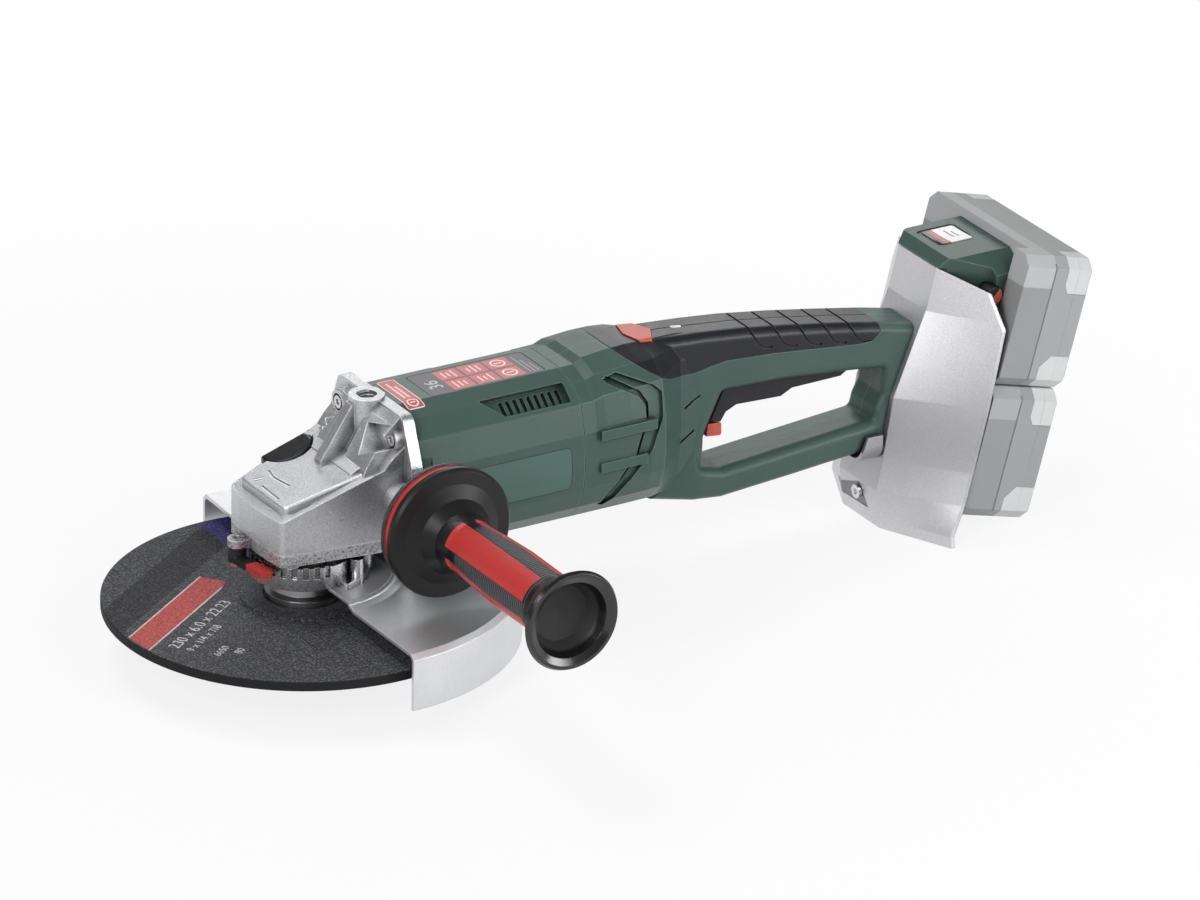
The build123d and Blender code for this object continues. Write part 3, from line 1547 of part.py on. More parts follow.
# ---------------------------------------------------------------- trigger and its lock lever
trigger_points = [
    (274.0, 86.8),
    (265.0, 67.2),
    (272.4, 65.0),
    (276.0, 70.5),
    (283.0, 73.6),
    (313.2, 72.3),
    (320.8, 76.0),
    (354.0, 76.4),
    (361.5, 81.0),
    (361.5, 90.0),
    (352.0, 90.6),
    (299.0, 89.6),
    (276.0, 90.4),
]
trigger_pivot = (trigger_pivot_x, 0, trigger_pivot_z + 2.5)
with BuildPart() as trigger:
    extrude(outline(Plane.XZ, trigger_points), amount=trigger_half_width, both=True)
    long_rims = trigger.faces().sort_by(Axis.Y)
    fillet(long_rims[0].edges() + long_rims[-1].edges(), 1.2)
    with Locations(trigger_pivot):
        Cylinder(trigger_pin_radius + 0.05, 40.0, rotation=(90, 0, 0), mode=Mode.SUBTRACT)
    with BuildSketch(Plane.XZ):
        with Locations((lock_lever_x, lock_lever_z + 1.5)):
            Rectangle(9.0, 9.4)
    extrude(amount=3.3, both=True, mode=Mode.SUBTRACT)
    with Locations((lock_lever_x, 0, lock_lever_z + 3.0)):
        Cylinder(1.5, 12.0, rotation=(90, 0, 0), mode=Mode.SUBTRACT)
trigger.part.label = "trigger"
export_step(trigger.part, "parts/trigger.step")

with BuildPart() as trigger_pin:
    with Locations(trigger_pivot):
        Cylinder(trigger_pin_radius, 24.0, rotation=(90, 0, 0))
trigger_pin.part.label = "trigger_pin"
export_step(trigger_pin.part, "parts/trigger_pin.step")

with BuildPart() as lock_lever:
    extrude(outline(Plane.XZ, [(264.4, 65.0), (263.4, 57.4), (273.6, 56.2), (273.2, 63.9), (271.0, 64.4)]),
            amount=7.0, both=True)
    fillet(lock_lever.edges().filter_by(Axis.Y).group_by(Axis.Z)[0], 1.5)
    extrude(outline(Plane.XZ, [(266.3, 62.0), (270.9, 62.0), (270.6, 71.6), (266.6, 71.6)]),
            amount=3.0, both=True)
    with Locations((lock_lever_x, 0, lock_lever_z + 3.0)):
        Cylinder(1.4, 11.4, rotation=(90, 0, 0))
lock_lever.part.label = "lock_lever"
export_step(lock_lever.part, "parts/lock_lever.step")

# ---------------------------------------------------------------- battery foot
tilt = radians(pack_tilt_deg)
pack_down = (-sin(tilt), 0, -cos(tilt))
pack_rear = (cos(tilt), 0, -sin(tilt))


def pack_plane(depth):
    """Plane along the packs' front faces: local x runs down the stack, local y along +Y."""
    origin = (pack_top_x + depth * pack_rear[0], 0, pack_top_z + depth * pack_rear[2])
    return Plane(origin=origin, x_dir=pack_down, z_dir=pack_rear)


foot_top_z = 144.0
foot_bottom_z = -12.0


def pack_front_x(z):
    """Where the packs' front plane lies at a height."""
    return pack_top_x - (pack_top_z - z) * tan(tilt)


rail_starts = ((pack_top_z - foot_top_z) / cos(tilt) - 4.0, pack_pitch + 9.0)
rail_ends = (66.0, pack_pitch + 67.0)
release_s = (30.0, pack_pitch + 36.0)
release_depth = -6.5
release_radius = 5.5
terminal_s = (38.0, pack_pitch + 38.0)
with BuildPart() as battery_foot:
    extrude(
        outline(
            Plane.XZ,
            [
                (370.0, foot_bottom_z),
                (pack_front_x(foot_bottom_z), foot_bottom_z),
                (pack_front_x(foot_top_z), foot_top_z),
                (416.0, foot_top_z),
                (409.0, 137.0),
                (360.0, 100.0),
            ],
        ),
        amount=rail_half_width,
        both=True,
    )
    for start, end in zip(rail_starts, rail_ends):
        with BuildSketch(pack_plane(-1.0)):
            with Locations(((start + end) / 2, 0)):
                Rectangle(end - start, 2 * rail_half_width)
        extrude(amount=rail_height + 1.0)
        with BuildSketch(pack_plane(rail_height - 4.0)):
            with Locations((end + rail_lip / 2, 0)):
                Rectangle(rail_lip, 2 * rail_half_width)
        extrude(amount=4.0)
    for side in (-1, 1):
        extrude(
            outline(
                Plane.YZ.offset(350.0),
                [(side * 26.0, foot_top_z + 0.01), (side * 60.0, 127.0), (side * 60.0, 170.0),
                 (side * 26.0, 170.0)],
            ),
            amount=130.0,
            mode=Mode.SUBTRACT,
        )
        corner = [(360.0, side * 20.0), (408.0, side * 20.0), (437.0, side * 37.0), (437.0, side * 60.0),
                  (360.0, side * 60.0)]
        extrude(outline(Plane.XY.offset(118.0), corner), amount=40.0, mode=Mode.SUBTRACT)
    with BuildSketch(Plane.XY.offset(foot_top_z)):
        Rectangle(1200.0, 200.0)
    extrude(amount=40.0, mode=Mode.SUBTRACT)
    add(shield_slab(-120.0, shield_sheet + gap / 3), mode=Mode.SUBTRACT)
    # room for the tongue of the handle shells
    with BuildSketch(Plane.XZ):
        with BuildLine():
            Polyline((370.0, tongue_from_z - gap), (404.0 + gap, tongue_from_z - gap),
                     (410.0 + gap, tongue_to_z + gap), (370.0, tongue_to_z + gap), close=True)
        make_face()
    extrude(amount=tongue_half_width + gap, both=True, mode=Mode.SUBTRACT)
    # pockets of the release buttons and of the terminals
    for place in release_s:
        release_x = pack_top_x + place * pack_down[0] + release_depth * pack_rear[0]
        release_z = pack_top_z + place * pack_down[2] + release_depth * pack_rear[2]
        release_bore = release_radius + gap
        release_bore_length = 2 * (release_travel + 7.0)
        with Locations((release_x, -rail_half_width, release_z)):
            Cylinder(release_bore, release_bore_length, rotation=(90, 0, 0), mode=Mode.SUBTRACT)
    for place in terminal_s:
        with BuildSketch(pack_plane(rail_height - 5.0)):
            with Locations((place, 0)):
                with GridLocations(0, 13.0, 1, 4):
                    Rectangle(18.0, 3.0)
        extrude(amount=5.0, mode=Mode.SUBTRACT)
    with BuildSketch(Plane.YZ.offset(365.0)):
        with Locations((0, shield_screw_z)):
            Circle(screw_shank_radius + slip)
    extrude(amount=25.0, mode=Mode.SUBTRACT)
    # window recess on the top
    with BuildSketch(Plane.XY.offset(foot_top_z)):
        with Locations((433.0, 7.0)):
            RectangleRounded(26.0, 24.0, 3.0)
    extrude(amount=-0.8, mode=Mode.SUBTRACT)
battery_foot.part.label = "battery_foot"
export_step(battery_foot.part, "parts/battery_foot.step")

with BuildPart() as foot_terminals:
    for place in terminal_s:
        with BuildSketch(pack_plane(rail_height - 5.0)):
            with Locations((place, 0)):
                with GridLocations(0, 13.0, 1, 4):
                    Rectangle(17.4, 2.4)
        extrude(amount=4.8)
foot_terminals.part.label = "foot_terminals"
export_step(foot_terminals.part, "parts/foot_terminals.step")

for name, place in (("release_upper", release_s[0]), ("release_lower", release_s[1])):
    release_x = pack_top_x + place * pack_down[0] + release_depth * pack_rear[0]
    release_z = pack_top_z + place * pack_down[2] + release_depth * pack_rear[2]
    with BuildPart() as release_button:
        with Locations((release_x, -rail_half_width + 2.2, release_z)):
            Cylinder(release_radius, 8.6, rotation=(90, 0, 0))
        fillet(release_button.edges().sort_by(Axis.Y)[0], 0.8)
    release_button.part.label = name
    export_step(release_button.part, f"parts/{name}.step")


# ---------------------------------------------------------------- battery packs
def pack_block(top, front, rear):
    """Chamfered block of a pack between two depths behind the front plane."""
    with BuildPart() as block:
        with BuildSketch(pack_plane(front)):
            with Locations((top + pack_length / 2, 0)):
                Rectangle(pack_length, 2 * pack_half_width)
        extrude(amount=rear - front)
    return block.part


lid_front = pack_depth - pack_lid_depth
corner_cut = 6.0
channel_width = rail_half_width + gap + pack_half_width + 10.0
channel_centre_y = pack_half_width + 10.0 - channel_width / 2
for name, top, start, end, open_top in (
    ("upper", 0.0, rail_starts[0], rail_ends[0], True),
    ("lower", pack_pitch, rail_starts[1], rail_ends[1], False),
):
    with BuildPart() as pack_case:
        add(pack_block(top, gap, lid_front))
        chamfer(pack_case.edges().filter_by(Axis(origin=(0, 0, 0), direction=pack_rear)), corner_cut)
        channel_from = top - 5.0 if open_top else start - gap
        channel_to = end + gap
        with BuildSketch(pack_plane(-1.0)):
            with Locations(((channel_from + channel_to) / 2, channel_centre_y)):
                Rectangle(channel_to - channel_from, channel_width)
        extrude(amount=rail_height + 1.0 + gap, mode=Mode.SUBTRACT)
        with BuildSketch(pack_plane(rail_height - 4.0 - gap)):
            with Locations((channel_to + rail_lip / 2, channel_centre_y)):
                Rectangle(rail_lip + gap, channel_width)
        extrude(amount=4.0 + 2 * gap, mode=Mode.SUBTRACT)
        with BuildSketch(pack_plane(rail_height)):
            with Locations((terminal_s[0] + top, 0)):
                with GridLocations(0, 13.0, 1, 4):
                    Rectangle(18.0, 3.0)
        extrude(amount=5.0, mode=Mode.SUBTRACT)
    pack_case.part.label = f"pack_{name}_case"
    export_step(pack_case.part, f"parts/pack_{name}_case.step")

    with BuildPart() as pack_lid:
        add(pack_block(top, lid_front, pack_depth))
        chamfer(pack_lid.edges().filter_by(Axis(origin=(0, 0, 0), direction=pack_rear)), corner_cut)
        rear_face = pack_lid.faces().sort_by(Axis(origin=(0, 0, 0), direction=pack_rear))[-1]
        chamfer(rear_face.edges(), 3.0)
    pack_lid.part.label = f"pack_{name}_lid"
    export_step(pack_lid.part, f"parts/pack_{name}_lid.step")

    with BuildPart() as pack_contacts:
        with BuildSketch(pack_plane(rail_height + gap + 0.4)):
            with Locations((terminal_s[0] + top, 0)):
                with GridLocations(0, 13.0, 1, 4):
                    Rectangle(17.4, 2.4)
        extrude(amount=4.2)
    pack_contacts.part.label = f"pack_{name}_contacts"
    export_step(pack_contacts.part, f"parts/pack_{name}_contacts.step")

with BuildPart() as shield_screw:
    with Locations((shield_screw_x - 2.6, 0, shield_screw_z)):
        Cylinder(4.2, 2.0, rotation=(0, 90, 0))
    with Locations((shield_screw_x + 4.0, 0, shield_screw_z)):
        Cylinder(screw_shank_radius, 12.0, rotation=(0, 90, 0))
    with Locations((shield_screw_x - 3.3, 0, shield_screw_z)):
        Cylinder(1.8, 1.4, rotation=(0, 90, 0), mode=Mode.SUBTRACT)
shield_screw.part.label = "shield_screw"
export_step(shield_screw.part, "parts/shield_screw.step")
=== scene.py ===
# %% [markdown]
# # A cordless angle grinder, dressed for its picture
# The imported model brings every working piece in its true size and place.
# This lesson gives each piece its finish, adds the small trim, and sets up a plain studio.
# Lengths are in metres. The origin is on the spindle axis at the outer face of the clamping nut,
# X runs back along the motor to the handle, and Z runs up.

# %% Load the fixed frame
import json
import math

import bmesh
import bpy
from mathutils import Matrix, Vector
from mathutils.bvhtree import BVHTree


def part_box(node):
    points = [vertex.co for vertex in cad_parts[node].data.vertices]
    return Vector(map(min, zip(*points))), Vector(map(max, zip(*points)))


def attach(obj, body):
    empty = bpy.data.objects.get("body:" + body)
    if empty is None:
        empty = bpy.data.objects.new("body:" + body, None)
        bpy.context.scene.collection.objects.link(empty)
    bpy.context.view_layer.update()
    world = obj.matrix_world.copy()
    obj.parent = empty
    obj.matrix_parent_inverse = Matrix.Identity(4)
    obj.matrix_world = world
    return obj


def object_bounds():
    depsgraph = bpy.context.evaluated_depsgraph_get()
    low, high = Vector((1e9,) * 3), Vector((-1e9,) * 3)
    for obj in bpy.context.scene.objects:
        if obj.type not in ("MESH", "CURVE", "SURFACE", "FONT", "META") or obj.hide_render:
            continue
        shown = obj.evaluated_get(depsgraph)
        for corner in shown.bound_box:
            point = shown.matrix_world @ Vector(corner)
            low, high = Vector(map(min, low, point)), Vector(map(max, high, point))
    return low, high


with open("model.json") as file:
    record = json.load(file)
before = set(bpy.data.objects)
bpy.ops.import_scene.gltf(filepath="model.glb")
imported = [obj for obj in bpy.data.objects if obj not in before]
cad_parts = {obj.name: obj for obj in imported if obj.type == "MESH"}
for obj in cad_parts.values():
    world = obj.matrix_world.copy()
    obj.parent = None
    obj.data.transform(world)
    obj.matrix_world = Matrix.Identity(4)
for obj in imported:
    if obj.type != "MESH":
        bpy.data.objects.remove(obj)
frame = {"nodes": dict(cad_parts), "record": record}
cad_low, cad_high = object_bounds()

print("solid box in mm:", [round(1000 * (b - a)) for a, b in zip(cad_low, cad_high)])

# %% [markdown]
# ## Where the camera stands
# A long lens far away keeps the disc's ellipse and the long motor housing in calm proportion.
# Its turn, height and slight roll are given as angles, and the three axes of the camera follow from them.

# %% Camera
TURN = math.radians(-31.57)
HEIGHT = math.radians(24.23)
ROLL = math.radians(1.02)
CAMERA_AT = Vector((-2.5457, -4.4613, 2.4176))

back = Vector((math.sin(TURN) * math.cos(HEIGHT), -math.cos(TURN) * math.cos(HEIGHT), math.sin(HEIGHT)))
level = Vector((math.cos(TURN), math.sin(TURN), 0.0))
upward = back.cross(level)
right = level * math.cos(ROLL) + upward * math.sin(ROLL)
top = upward * math.cos(ROLL) - level * math.sin(ROLL)

lens = bpy.data.cameras.new("studio_camera")
lens.sensor_width = 36.0
lens.lens = 300.0
lens.clip_end = 50.0
camera = bpy.data.objects.new("studio_camera", lens)
camera.matrix_world = Matrix.Translation(CAMERA_AT) @ Matrix((right, top, back)).transposed().to_4x4()
bpy.context.scene.collection.objects.link(camera)
bpy.context.scene.camera = camera
print("camera stands", round(CAMERA_AT.length, 2), "m from the spindle")

# %% [markdown]
# ## Shader sums written as plain expressions
# A finish is a chain of small sums: a noise, a threshold, a mix. Wiring each node by hand hides the idea,
# so a wire is wrapped in a small class, and +, - and * on wires add the Math nodes.


# %% The wire and the finish
class Wire:
    """One output of a node, which can be used in sums."""

    def __init__(self, finish, socket):
        self.finish = finish
        self.socket = socket

    def sum(self, operation, first, second=0.0):
        return self.finish.node("Math", {"operation": operation}, {0: first, 1: second})

    def __add__(self, other):
        return self.sum("ADD", self, other)

    def __radd__(self, other):
        return self.sum("ADD", other, self)

    def __sub__(self, other):
        return self.sum("SUBTRACT", self, other)

    def __rsub__(self, other):
        return self.sum("SUBTRACT", other, self)

    def __mul__(self, other):
        return self.sum("MULTIPLY", self, other)

    def __rmul__(self, other):
        return self.sum("MULTIPLY", other, self)

    def above(self, level, blur):
        """0 below the level and 1 above it, with a soft edge."""
        step = {0: self, 1: level - blur, 2: level + blur}
        return self.finish.node("MapRange", {"interpolation_type": "SMOOTHSTEP"}, step)

    def under(self, level, blur):
        """1 below the level and 0 above it, with a soft edge."""
        return 1 - self.above(level, blur)

    def size(self):
        """The value without its sign."""
        return self.sum("ABSOLUTE", self)

    def root(self):
        return self.sum("POWER", self, 0.5)

    def sine(self):
        return self.sum("SINE", self)

    def fraction(self):
        return self.sum("FRACT", self)

    def lower(self, other):
        return self.sum("MINIMUM", self, other)

    def higher(self, other):
        return self.sum("MAXIMUM", self, other)


class Finish:
    """A material under construction."""

    def __init__(self, name):
        self.material = bpy.data.materials.new(name)
        self.material.use_nodes = True
        self.tree = self.material.node_tree
        self.tree.nodes.clear()
        self.place = self.node("TexCoord", out="Object")

    def node(self, kind, settings=None, values=None, out=0):
        """Adds a node: its settings first, then the values or wires of its sockets."""
        made = self.tree.nodes.new("ShaderNode" + kind)
        for key, value in (settings or {}).items():
            setattr(made, key, value)
        for key, value in (values or {}).items():
            self.feed(made.inputs[key], value)
        return Wire(self, made.outputs[out])

    def feed(self, socket, value):
        if isinstance(value, Wire):
            self.tree.links.new(value.socket, socket)
        elif isinstance(value, tuple) and socket.type == "RGBA":
            socket.default_value = (*value, 1.0)
        else:
            socket.default_value = value

    def noise(self, scale, detail, rough=0.55):
        values = {"Vector": self.place, "Scale": scale, "Detail": detail, "Roughness": rough}
        return self.node("TexNoise", {}, values)

    def mix(self, mask, first, second):
        """Colours by a mask: first where it is 0, second where it is 1."""
        return self.node("Mix", {"data_type": "RGBA"}, {0: mask, 6: first, 7: second}, out=2)

    def speckled(self, grain, first, second):
        """Two colours by the low and the high places of a noise."""
        return self.mix(grain.above(0.5, 0.2), first, second)

    def axes(self):
        """X, Y and Z of each point in the part's own frame."""
        split = self.node("SeparateXYZ", {}, {"Vector": self.place})
        return [Wire(self, part) for part in split.socket.node.outputs]

    def bump(self, height, distance, after=None):
        values = {"Height": height, "Distance": distance}
        if after is not None:
            values["Normal"] = after
        return self.node("Bump", {}, values)

    def soft_edge(self, radius):
        """Rounds sharp edges in the shading only."""
        return self.node("Bevel", {"samples": 4}, {"Radius": radius})

    def crevice(self, distance):
        """1 on open surfaces and near 0 deep in grooves."""
        return self.node("AmbientOcclusion", {"samples": 6}, {"Distance": distance}, out=1)

    def sharp_edge(self, radius):
        """1 along sharp edges, where the rounded normal leaves the flat one."""
        flat = self.node("NewGeometry", out="Normal")
        turn = self.node("VectorMath", {"operation": "DOT_PRODUCT"}, {0: self.soft_edge(radius), 1: flat}, out=1)
        return (1 - turn).above(0.022, 0.02)

    def close(self, surface, kind="OutputMaterial"):
        """Feeds a surface to the end of the tree."""
        end = self.tree.nodes.new("ShaderNode" + kind)
        self.feed(end.inputs["Surface"], surface)

    def finish(self, **values):
        """Sets the surface and returns the material. Names with _ stand for the sockets' names."""
        self.close(self.node("BsdfPrincipled", {}, {key.replace("_", " "): value for key, value in values.items()}))
        return self.material


print("wires ready")

# %% [markdown]
# ## Masks for paint and print
# A printed patch is a region of the surface. Two soft steps make a stripe, two stripes make a bar,
# and a distance makes a ring. All of them are sums of the object's own X, Y and Z,
# so that a print turns and slides with its piece.


# %% Masks
def stripe(value, low, high, blur=0.0001):
    return value.above(low, blur) * value.under(high, blur)


def bar(first, second, low, high):
    return stripe(first, low[0], high[0]) * stripe(second, low[1], high[1])


def reach(first, second, centre):
    """Distance from a centre in a plane."""
    across = first - centre[0]
    along = second - centre[1]
    return (across * across + along * along).root()


def shade(tone, share, lift=0.0):
    """A tone made darker or paler by a share."""
    return tuple(share * c + lift for c in tone)


print("masks ready")

# %% [markdown]
# ## Metals
# The gear housing is die-cast: a coarse pebbled skin with a blasted sparkle, a painted highlight along its edges
# and painted shade in its corners. The bearing cover's pebble is coarser, and the collar is nearly smooth.
# Turned steel has a faint grain.
# The grain is noise in object space, because the pieces have no unwrapping and it must not stretch.
# A bevel in the normal rounds each edge a little, so that it catches the light as a real edge does.

# %% Metals
EDGE_HIGHLIGHT_PAINT = (0.95, 0.95, 0.96)
CORNER_SHADE_PAINT = (0.05, 0.05, 0.055)


def cast_metal(name, tone, grain_size, pebble, rough, metallic, dark):
    """pebble is the depth of the skin, and dark is the share of the tone that its low places keep."""
    maker = Finish(name)
    grain = maker.noise(1.0 / grain_size, 2.0, 0.7)
    cloud = maker.noise(30.0, 3.0)
    patches = cloud.above(0.5, 0.3) * 0.35 + grain.above(0.48, 0.16) * 0.65
    colour = maker.mix(patches, shade(tone, dark), tone)
    # A painted highlight along sharp edges, and painted shade in corners and grooves.
    colour = maker.mix(maker.sharp_edge(0.0011) * 0.8, colour, EDGE_HIGHLIGHT_PAINT)
    colour = maker.mix(maker.crevice(0.007).under(0.62, 0.32) * 0.75, colour, CORNER_SHADE_PAINT)
    return maker.finish(
        Base_Color=colour,
        Metallic=metallic,
        Roughness=grain * 0.22 + (rough - 0.11),
        Normal=maker.bump(grain, pebble, after=maker.soft_edge(0.0006)),
    )


def ground_steel(name, tone, rough):
    maker = Finish(name)
    cloud = maker.noise(60.0, 3.0)
    grain = maker.noise(2600.0, 2.0)
    return maker.finish(
        Base_Color=maker.mix(cloud.above(0.52, 0.2), shade(tone, 0.7), tone),
        Metallic=1.0,
        Roughness=cloud * 0.14 + (rough - 0.07),
        Normal=maker.bump(grain, 0.00004, after=maker.soft_edge(0.0004)),
    )


cast_silver = cast_metal(
    "cast_silver", (0.64, 0.645, 0.665), grain_size=0.0011, pebble=0.00034, rough=0.32, metallic=0.95, dark=0.66
)
pebbled_silver = cast_metal(
    "pebbled_silver", (0.66, 0.66, 0.67), grain_size=0.0015, pebble=0.0006, rough=0.30, metallic=0.95, dark=0.35
)
collar_silver = cast_metal(
    "collar_silver", (0.62, 0.62, 0.63), grain_size=0.0009, pebble=0.00005, rough=0.26, metallic=1.0, dark=0.8
)
steel = ground_steel("ground_steel", (0.56, 0.56, 0.57), rough=0.30)
bright_steel = ground_steel("bright_steel", (0.76, 0.76, 0.77), rough=0.20)
copper = ground_steel("copper", (0.72, 0.42, 0.26), rough=0.3)
print("metals ready")

# %% [markdown]
# ## The guard's pressed sheet
# The guard is satin steel with a shallow ring pressed into its top round the collar.
# The ring is too low to need geometry of its own, so a bump follows the distance from the spindle axis.

# %% Guard
PRESSED_RING = (0.0513, 0.0528)
GUARD_TOP = 0.0262


def pressed_sheet():
    maker = Finish("guard_silver")
    x, y, z = maker.axes()
    from_spindle = reach(x, y, (0.0, 0.0))
    ring = stripe(from_spindle, *PRESSED_RING, 0.0005) * z.above(GUARD_TOP, 0.0004)
    grain = maker.noise(1500.0, 2.0)
    cloud = maker.noise(14.0, 4.0)
    patches = cloud.above(0.5, 0.3) * 0.6 + grain.above(0.5, 0.2) * 0.4
    sheet = maker.mix(patches, (0.58, 0.585, 0.60), (0.76, 0.765, 0.78))
    skin = maker.bump(grain, 0.00005, after=maker.soft_edge(0.0009))
    return maker.finish(
        Base_Color=maker.mix(ring * 0.8, sheet, (0.85, 0.85, 0.86)),
        Metallic=0.85,
        Roughness=cloud * 0.14 + grain * 0.08 + 0.36,
        Normal=maker.bump(ring, 0.0006, after=skin),
    )


guard_silver = pressed_sheet()
print("guard ready")

# %% [markdown]
# ## The shield's blasted sheet
# The shield is aluminium sheet, blasted to a bright sparkle, with painted shade as a darker cloud over its middle.
# Below the foot a narrow three-cornered hollow runs up to its screw, and painted shade darkens it.
# It is shallow, so three half-planes and a bump draw it.

# %% Shield
HOLLOW_CORNERS = ((0.0420, -0.0130), (-0.0085, -0.0115), (-0.0015, 0.0025))
SHEET_FRONT = 0.368
SHEET_BACK = 0.400


def half_plane(y, z, first, second):
    """1 on the left of the line from first to second, seen from the front of the shield."""
    run = (second[0] - first[0], second[1] - first[1])
    length = math.hypot(*run)
    away = (z - first[1]) * (run[0] / length) - (y - first[0]) * (run[1] / length)
    return away.above(0.0, 0.0005)


def blasted_sheet():
    maker = Finish("shield_silver")
    x, y, z = maker.axes()
    hollow = x.above(SHEET_FRONT, 0.001) * x.under(SHEET_BACK, 0.001)
    for first, second in zip(HOLLOW_CORNERS, HOLLOW_CORNERS[1:] + HOLLOW_CORNERS[:1]):
        hollow = hollow * half_plane(y, z, second, first)
    grain = maker.noise(1500.0, 2.0, 0.7)
    cloud = maker.noise(11.0, 3.0)
    colour = maker.speckled(grain, (0.60, 0.60, 0.615), (0.78, 0.78, 0.795))
    colour = maker.mix(cloud.above(0.5, 0.3) * 0.25, colour, (0.5, 0.5, 0.515))
    # Painted shade: a darker cloud over the middle of the sheet.
    painted_shade_middle = z.above(0.010, 0.050) * z.under(0.072, 0.050) * y.under(0.045, 0.050)
    colour = maker.mix(painted_shade_middle * (cloud * 0.4 + 0.6), colour, (0.20, 0.20, 0.212))
    # Painted shade darkens the hollow.
    colour = maker.mix(hollow * 0.8, colour, (0.11, 0.11, 0.12))
    skin = maker.bump(grain, 0.00008, after=maker.soft_edge(0.0008))
    return maker.finish(
        Base_Color=colour,
        Metallic=0.8,
        Roughness=grain * 0.2 + cloud * 0.06 + 0.24,
        Normal=maker.bump(1 - hollow, 0.0016, after=skin),
    )


shield_silver = blasted_sheet()
print("shield ready")

# %% [markdown]
# ## The guard lever
# The lever is a dark steel strap, bare towards its bolt, and its finger end is painted red.
# Where the paint starts is a share of the lever's own length, so it follows the lever if that is made longer.

# %% Guard lever
PAINTED_SHARE = 0.45


def lever_finish():
    maker = Finish("lever_finish")
    x, y, z = maker.axes()
    low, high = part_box("guard_lever")
    tip = y.under(low.y + PAINTED_SHARE * (high.y - low.y), 0.0006)
    grain = maker.noise(1500.0, 2.0)
    strap = maker.speckled(grain, (0.020, 0.020, 0.022), (0.042, 0.042, 0.046))
    paint = maker.speckled(grain, (0.42, 0.030, 0.032), (0.50, 0.045, 0.045))
    return maker.finish(
        Base_Color=maker.mix(tip, strap, paint),
        Metallic=(1 - tip) * 0.6,
        Roughness=grain * 0.14 + 0.22,
        Normal=maker.bump(grain, 0.00006, after=maker.soft_edge(0.0006)),
    )


lever_paint = lever_finish()
print("lever ready")

# %% [markdown]
# ## Plastics and rubber
# The housings are glass-filled nylon with a fine spark-eroded texture: small, even and satin.
# Soft rubber is darker, and red plastic is a little smoother. A painted highlight makes the edges of all of them
# pale, and painted shade darkens their grooves. Two helpers do this, and the barrel uses them again.

# %% Plastics and rubber
HOUSING_GREEN = (0.056, 0.097, 0.083)


def moulded_tone(maker, grain, tone, spread=0.84):
    """Soft clouds and fine grain. spread is the share of the tone that the darker places keep."""
    cloud = maker.noise(18.0, 4.0)
    patches = cloud.above(0.5, 0.25) * 0.6 + grain.above(0.5, 0.2) * 0.4
    return maker.mix(patches, shade(tone, spread), tone)


def painted_highlight_and_shade(maker, colour, tone):
    """A painted highlight along sharp edges and painted shade deep in grooves."""
    colour = maker.mix(maker.sharp_edge(0.0008) * 0.7, colour, shade(tone, 2.6, lift=0.03))
    return maker.mix(maker.crevice(0.011).under(0.68, 0.36) * 0.8, colour, shade(tone, 0.18))


def moulded(name, tone, grain_size, depth, rough, spread=0.84, gloss=0.5):
    maker = Finish(name)
    grain = maker.noise(1.0 / grain_size, 2.0, 0.65)
    colour = moulded_tone(maker, grain, tone, spread)
    return maker.finish(
        Base_Color=painted_highlight_and_shade(maker, colour, tone),
        Roughness=grain * 0.16 + (rough - 0.08),
        Normal=maker.bump(grain, depth, after=maker.soft_edge(0.0007)),
        Specular_IOR_Level=gloss,
    )


green = moulded("green_housing", HOUSING_GREEN, 0.0006, 0.00009, rough=0.35, gloss=0.25)
soft_black = moulded("soft_black", (0.0125, 0.013, 0.0155), 0.0007, 0.00012, rough=0.30, spread=0.7, gloss=0.32)
black = moulded("black_plastic", (0.0065, 0.0065, 0.0078), 0.0009, 0.00012, rough=0.30, spread=0.75, gloss=0.28)
red = moulded("red_button", (0.50, 0.085, 0.060), 0.0006, 0.00005, rough=0.36, spread=0.92, gloss=0.35)
red_rubber = moulded("red_rubber", (0.50, 0.036, 0.036), 0.0006, 0.00006, rough=0.36, spread=0.88, gloss=0.3)
lamp_clear = moulded("lamp_clear", (0.62, 0.64, 0.62), 0.001, 0.00002, rough=0.15)
print("plastics ready")

# %% [markdown]
# ## The release buttons
# Each battery pack is freed by a small button beside it: a red pad on a dark carrier.
# A slanted line through the middle of the button parts the two tones.

# %% Release buttons
PAD_SLANT = (0.75, 0.66)


def release_plastic(node):
    """A dark carrier towards the shield, and a red pad on the rest of the button."""
    maker = Finish(node + "_red")
    x, y, z = maker.axes()
    low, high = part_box(node)
    middle = (low + high) * 0.5
    pad = ((x - middle.x) * PAD_SLANT[0] - (z - middle.z) * PAD_SLANT[1]).above(-0.0002, 0.0004)
    grain = maker.noise(1600.0, 2.0)
    tone = maker.speckled(grain, (0.40, 0.062, 0.048), (0.48, 0.080, 0.060))
    return maker.finish(
        Base_Color=maker.mix(pad, (0.010, 0.010, 0.011), tone),
        Roughness=grain * 0.14 + 0.34,
        Normal=maker.bump(grain, 0.00005, after=maker.soft_edge(0.0006)),
        Specular_IOR_Level=0.3,
    )


release_finish = {node: release_plastic(node) for node in ("release_upper", "release_lower")}
print("release buttons ready:", sorted(release_finish))

# %% [markdown]
# ## The barrel and its bare name field
# The motor housing has the same plastic, with a slightly sunk, paler field on each side where a name would be.
# The field stays bare. It is a rounded rectangle in X and Z: the distance from a smaller box gives round corners.

# %% Barrel
FIELD_MIDDLE = (0.1110, 0.0775)
FIELD_INNER = (0.0350, 0.0095)
FIELD_CORNER = 0.0035


